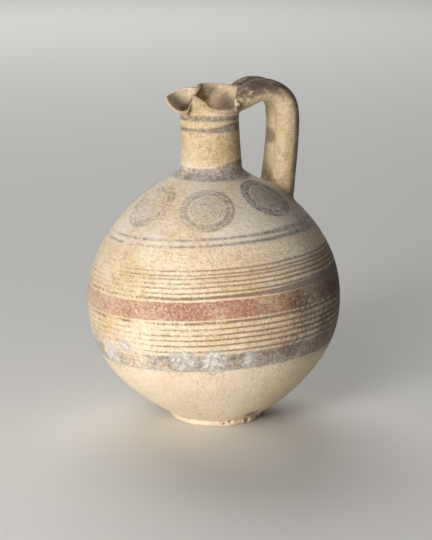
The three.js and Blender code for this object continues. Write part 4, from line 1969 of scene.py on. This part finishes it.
    def neck_paint(self, sheet: Sheet, spot: Spot) -> Socket:
        """Mask of the collar and of the two neck lines, which widen and rise to the right.

        Args:
            sheet: The material's sheet.
            spot: Where on the jug the point is.

        Returns:
            The mask.
        """
        plan = self.scheme
        brush = self.brush
        wide = sheet.rise(spot.right, *plan.neck_right)
        high = self.band(sheet, spot.level, plan.neck_high, brush.neck_high_softness)
        half = sheet.plus(plan.neck_low.half_width, sheet.times(wide, plan.neck_low.growth))
        middle = sheet.plus(plan.neck_low.middle, sheet.times(wide, plan.neck_low_rise))
        low = sheet.place(self.line, Height=spot.level, Middle=middle, Half_Width=half,
                          Softness=brush.neck_low_softness)
        top = sheet.plus(plan.collar_top, sheet.times(wide, plan.collar_rise))
        collar = sheet.rise(sheet.minus(spot.level, top), *brush.collar_fade)
        collar = sheet.times(collar, sheet.rise(spot.level, *plan.collar_foot))
        return sheet.greater(sheet.greater(high, low.outputs[0]), collar)

    def dark_paint(self, sheet: Sheet, spot: Spot) -> Socket:
        """Mask of the dark grey paint of belly, shoulder, neck, rim and handle, before its wear.

        Args:
            sheet: The material's sheet.
            spot: Where on the jug the point is.

        Returns:
            The mask.
        """
        plan = self.scheme
        brush = self.brush
        rings = CompassRings().group(plan)
        dark = self.lines(sheet, spot, plan.shoulder_lines, brush.shoulder_softness)
        dark = sheet.times(dark, brush.shoulder_cover)
        dark = sheet.greater(dark, self.band(sheet, spot.height, plan.grey, brush.grey_softness))
        dark = sheet.greater(dark, self.neck_paint(sheet, spot))
        fill = sheet.rise(spot.right, *brush.roundel_fill)
        fill = sheet.greater(fill, sheet.rise(spot.right, *brush.roundel_fill_left))
        for centre in plan.roundels:
            mask = sheet.place(rings, Position=spot.where, Centre=tuple(c * MM for c in centre), Fill=fill)
            dark = sheet.greater(dark, mask.outputs[0])
        dark = sheet.times(dark, spot.pot)
        strip = sheet.times(sheet.rise(sheet.attribute("roll_outward"), *brush.handle_strip), spot.on_handle)
        off_roll = sheet.minus(1.0, spot.on_handle)
        rim = sheet.times(sheet.rise(sheet.attribute("rim_gap"), *brush.rim_edge), off_roll)
        return sheet.greater(sheet.greater(dark, rim), sheet.times(strip, brush.strip_cover))

    def handle_paint(self, sheet: Sheet, spot: Spot, colour: Socket) -> Socket:
        """Lay the dark streaks of the handle's top and the wavy line beside its outer strip.

        Args:
            sheet: The material's sheet.
            spot: Where on the jug the point is.
            colour: The colour so far.

        Returns:
            The colour with the handle's paint on it.
        """
        ink = self.pigments
        streaks = self.streaks
        along = sheet.attribute("roll_along")
        outward = sheet.attribute("roll_outward")
        sway = sheet.waver(spot.where, streaks.sway, streaks.sway_reach)
        edge = self.band(sheet, sheet.plus(outward, sway), streaks.edge, streaks.edge_softness)
        edge = sheet.times(sheet.times(edge, spot.on_handle), sheet.rise(along, *streaks.edge_start))
        colour = sheet.blend(sheet.times(edge, streaks.edge_cover), colour, ink.brown)
        reach = sheet.times(sheet.rise(along, *streaks.top_start), sheet.rise(along, *streaks.top_end))
        reach = sheet.times(sheet.times(reach, spot.on_handle), sheet.rise(outward, *streaks.top_side))
        streak = sheet.noise(sheet.stretch(spot.where, streaks.streak_stretch), *streaks.streak)
        patch = sheet.times(reach, sheet.rise(streak, *streaks.streak_cut))
        tone = sheet.blend(sheet.rise(streak, *streaks.streak_black), ink.brown, ink.black)
        return sheet.blend(sheet.times(patch, streaks.streak_cover), colour, tone)

    def lime_amount(self, sheet: Sheet, spot: Spot, patches: Socket) -> Socket:
        """How much lime lies at a point: shoulder, patches, low band, left edge and upper right.

        Args:
            sheet: The material's sheet.
            spot: Where on the jug the point is.
            patches: Mask of the patches of lime.

        Returns:
            The amount.
        """
        layers = self.layers
        upper = sheet.rise(spot.height, *layers.upper_foot)
        upper = sheet.times(upper, sheet.rise(spot.level, *layers.upper_top))
        amount = sheet.times(upper, layers.upper_amount)
        amount = sheet.plus(amount, sheet.times(patches, layers.patch_amount))
        low = sheet.rise(spot.height, *layers.low_foot)
        low = sheet.times(low, sheet.rise(spot.height, *layers.low_top))
        amount = sheet.plus(amount, sheet.times(low, layers.low_amount))
        amount = sheet.plus(amount, sheet.rise(spot.right, *layers.left_amount))
        right = sheet.rise(spot.right, *layers.right_side)
        right = sheet.times(right, sheet.rise(spot.height, *layers.right_foot))
        return sheet.plus(amount, sheet.times(right, layers.right_amount))

    def shade_and_grime(self, sheet: Sheet, spot: Spot, speck: Socket) -> Socket:
        """Mask of painted shade with some grime on the right of the belly, away from the light, broken by
        specks.

        Args:
            sheet: The material's sheet.
            spot: Where on the jug the point is.
            speck: The noise of the specks.

        Returns:
            The mask.
        """
        layers = self.layers
        side = sheet.rise(spot.right, *layers.shade_grime_side)
        shade_and_grime = sheet.times(side, sheet.rise(spot.height, *layers.shade_grime_top))
        shade_and_grime = sheet.times(shade_and_grime, sheet.rise(spot.height, *layers.shade_grime_foot))
        return sheet.times(sheet.times(shade_and_grime, spot.pot), sheet.rise(speck, *layers.shade_grime_speck))

    def soil(self, sheet: Sheet, spot: Spot, colour: Socket
             ) -> tuple[Socket, Socket, Socket]:
        """Lay the lime haze, the crusts and the stains over the paint, and make the small hollows darker and
        the small ridges lighter.

        Args:
            sheet: The material's sheet.
            spot: Where on the jug the point is.
            colour: The painted colour.

        Returns:
            The final colour, and the masks of the white and the brown crust.
        """
        ink = self.pigments
        layers = self.layers
        group = SoiledPatch().group()
        lime = self.patches(sheet, group, spot, self.soiling.lime)
        crust = self.patches(sheet, group, spot, self.soiling.crust)
        stain = self.patches(sheet, group, spot, self.soiling.stain)
        amount = self.lime_amount(sheet, spot, lime)
        bloom = sheet.place(LimeBloom().group(), Position=spot.where, Amount=amount)
        haze = sheet.times(bloom.outputs["Haze"], spot.pot)
        white = sheet.times(bloom.outputs["Crust"], spot.pot)
        speck = sheet.noise(spot.where, *layers.speck)
        white = sheet.times(white, sheet.rise(speck, *layers.white_speck))
        colour = sheet.blend(sheet.times(haze, layers.haze_cover), colour, ink.bloom)
        colour = sheet.blend(sheet.times(white, layers.white_cover), colour, ink.bloom)
        # Painted shade with some grime: the right of the belly darkens towards plum
        shade_and_grime = sheet.times(self.shade_and_grime(sheet, spot, speck), layers.shade_grime_cover)
        colour = sheet.blend(shade_and_grime, colour, ink.shade_plum)
        brown = sheet.times(crust, sheet.rise(speck, *layers.brown_speck))
        colour = sheet.blend(sheet.times(brown, layers.brown_cover), colour, ink.dirt)
        yellow = sheet.times(crust, sheet.rise(speck, *layers.yellow_speck))
        colour = sheet.blend(yellow, colour, ink.ochre)
        colour = sheet.blend(sheet.times(stain, layers.stain_cover), colour, ink.black)
        # Darker in the small hollows and lighter on the small ridges that the weathering made
        crevice = sheet.attribute("crevice")
        hollow = sheet.times(sheet.rise(crevice, *layers.hollow), layers.hollow_cover)
        colour = sheet.blend(hollow, colour, ink.dirt)
        ridge = sheet.times(sheet.rise(crevice, *layers.ridge), layers.ridge_cover)
        return sheet.blend(ridge, colour, ink.cream), white, brown

    def make(self) -> bpy.types.Material:
        """Build the material: clay, then paint, then soil, and the relief of all three.

        Returns:
            The painted clay.
        """
        material = bpy.data.materials.new("painted_clay")
        material.use_nodes = True
        material.node_tree.nodes.clear()
        sheet = Sheet(material.node_tree)
        ink = self.pigments
        brush = self.brush
        surface = self.surface
        spot = self.spot(sheet)
        ground = sheet.place(ClayGround().group(ink), Position=spot.where, Bareness=spot.inside)
        colour = self.clay_tones(sheet, spot, ground.outputs["Colour"])
        colour = self.belly_paint(sheet, spot, colour)
        kept = self.kept(sheet, spot, brush.dark_loss)
        dark = sheet.math("MULTIPLY", self.dark_paint(sheet, spot), kept, clamp=True)
        fleck = sheet.noise(spot.where, *brush.dark_fleck)
        tone = sheet.blend(sheet.rise(fleck, *brush.dark_black), ink.grey, ink.black)
        dark = sheet.times(dark, sheet.rise(fleck, *brush.dark_thin))
        colour = sheet.blend(sheet.times(dark, brush.dark_cover), colour, tone)
        colour = self.handle_paint(sheet, spot, colour)
        colour, white, brown = self.soil(sheet, spot, colour)

        relief = sheet.plus(ground.outputs["Relief"], sheet.times(white, surface.white_relief))
        relief = sheet.plus(relief, sheet.times(brown, surface.brown_relief))
        bump = sheet.node("ShaderNodeBump")
        sheet.feed(bump.inputs["Strength"], surface.bump_strength)
        sheet.feed(bump.inputs["Distance"], surface.bump_depth)
        sheet.feed(bump.inputs["Height"], sheet.plus(relief, sheet.times(dark, surface.paint_relief)))
        chalk = sheet.times(sheet.greater(white, spot.inside), surface.chalk_roughness)
        rough = sheet.plus(surface.roughness, chalk)
        rough = sheet.minus(rough, sheet.times(dark, surface.paint_smoothness))
        shader = sheet.node("ShaderNodeBsdfPrincipled")
        sheet.feed(shader.inputs["Base Color"], colour)
        sheet.feed(shader.inputs["Roughness"], rough)
        sheet.feed(shader.inputs["Normal"], bump.outputs["Normal"])
        shader.inputs["Specular IOR Level"].default_value = surface.specular
        out = sheet.node("ShaderNodeOutputMaterial")
        sheet.feed(out.inputs["Surface"], shader.outputs["BSDF"])
        return material


@dataclass(frozen=True)
class Lamp:
    """A soft light: where it hangs in metres, its width and height, its power and its warmth."""

    name: str
    at: Triple
    width: float
    height: float
    power: float
    colour: Triple


@dataclass(frozen=True)
class Studio:
    """A plain pale floor, soft lights and the camera at the photograph's place."""

    azimuth: float = -22.0
    elevation: float = 12.8
    distance: float = 1.275
    focal_pixels: float = 1700.0
    frame_height: float = 540.0
    sensor: float = 36.0
    nearest: float = 0.05
    farthest: float = 50.0
    aim: Triple = (-0.0022, 0.0, 0.1057)
    slide_right: float = 0.0018
    slide_up: float = 0.0062
    floor_half: float = 6.0
    floor_colour: Colour = tint(228, 226, 222)
    floor_roughness: float = 0.7
    floor_specular: float = 0.2
    sky: Colour = tint(214, 214, 216)
    sky_strength: float = 0.035
    sky_seen: float = 0.5
    lamps: tuple[Lamp, ...] = (
        Lamp("key", (-1.25, -0.80, 0.28), 0.30, 0.50, 15.0, (1.0, 0.98, 0.95)),
        Lamp("low", (-0.95, -1.10, 0.06), 0.50, 0.10, 8.0, (1.0, 0.98, 0.95)),
        Lamp("fill", (-1.15, -1.25, 1.15), 0.7, 0.7, 9.5, (0.98, 0.985, 1.0)),
        Lamp("floor_wash", (0.7, 4.2, 3.4), 4.0, 4.0, 160.0, (1.0, 1.0, 1.0)),
        Lamp("overhead", (-0.9, -0.5, 3.6), 2.5, 2.5, 5.0, (1.0, 1.0, 1.0)),
    )

    def camera(self) -> bpy.types.Object:
        """Camera that looks at the body's centre and slides in its own plane to frame it.

        Returns:
            The camera.
        """
        a = math.radians(self.azimuth)
        e = math.radians(self.elevation)
        back = Vector((math.sin(a) * math.cos(e), -math.cos(a) * math.cos(e), math.sin(e)))
        right = Vector((math.cos(a), math.sin(a), 0.0))
        up = Vector((-math.sin(a) * math.sin(e), math.cos(a) * math.sin(e), math.cos(e)))
        data = bpy.data.cameras.new("photo_camera")
        data.sensor_width = self.sensor
        data.lens = self.focal_pixels / self.frame_height * self.sensor
        data.clip_start = self.nearest
        data.clip_end = self.farthest
        seen = bpy.data.objects.new("photo_camera", data)
        seen.matrix_world = Matrix((right, up, back)).transposed().to_4x4()
        slide = right * self.slide_right + up * self.slide_up
        seen.location = Vector(self.aim) + back * self.distance + slide
        bpy.context.scene.collection.objects.link(seen)
        bpy.context.scene.camera = seen
        return seen

    def floor(self) -> bpy.types.Object:
        """A wide pale floor, level with the foot.

        Returns:
            The floor.
        """
        h = self.floor_half
        mesh = bpy.data.meshes.new("floor")
        mesh.from_pydata([(-h, -h, 0), (h, -h, 0), (h, h, 0), (-h, h, 0)], [], [(0, 1, 2, 3)])
        material = bpy.data.materials.new("pale_floor")
        material.use_nodes = True
        shader = material.node_tree.nodes["Principled BSDF"]
        shader.inputs["Base Color"].default_value = self.floor_colour
        shader.inputs["Roughness"].default_value = self.floor_roughness
        shader.inputs["Specular IOR Level"].default_value = self.floor_specular
        mesh.materials.append(material)
        thing = bpy.data.objects.new("floor", mesh)
        bpy.context.scene.collection.objects.link(thing)
        return thing

    def lights(self) -> None:
        """Soft lights aimed at the jug."""
        target = Vector(self.aim)
        for lamp in self.lamps:
            data = bpy.data.lights.new(lamp.name, "AREA")
            data.shape = "RECTANGLE"
            data.size = lamp.width
            data.size_y = lamp.height
            data.energy = lamp.power
            data.color = lamp.colour
            light = bpy.data.objects.new(lamp.name, data)
            light.location = lamp.at
            light.rotation_euler = (target - Vector(lamp.at)).to_track_quat("-Z", "Y").to_euler()
            bpy.context.scene.collection.objects.link(light)

    def surround(self) -> None:
        """An even pale surround, which shows paler to the camera than it lights."""
        world = bpy.data.worlds.new("surround")
        world.use_nodes = True
        sheet = Sheet(world.node_tree)
        seen = sheet.node("ShaderNodeLightPath").outputs["Is Camera Ray"]
        strength = sheet.plus(sheet.times(seen, self.sky_seen), self.sky_strength)
        background = world.node_tree.nodes["Background"]
        background.inputs["Color"].default_value = self.sky
        sheet.feed(background.inputs["Strength"], strength)
        bpy.context.scene.world = world

    def build(self) -> None:
        """Set up the camera, the floor, the lights and the surround."""
        bpy.context.scene.view_settings.view_transform = "Standard"
        self.camera()
        self.floor()
        self.lights()
        self.surround()
        log.info("studio: camera, floor and %d lights", len(self.lamps))


def main() -> None:
    """Build the studio and the jug."""
    logging.basicConfig(level=logging.INFO, format="%(name)s: %(message)s")
    Studio().build()
    body = ThrownBody()
    mouth = PinchedMouth(body)
    material = PaintedClay(PaintScheme(), Soiling(), Pigments()).make()
    jug = Jug(body, mouth, Shell(body, mouth), RollHandle(body, mouth), Weathering(body))
    jug.build(material)


if __name__ == "__main__":
    main()
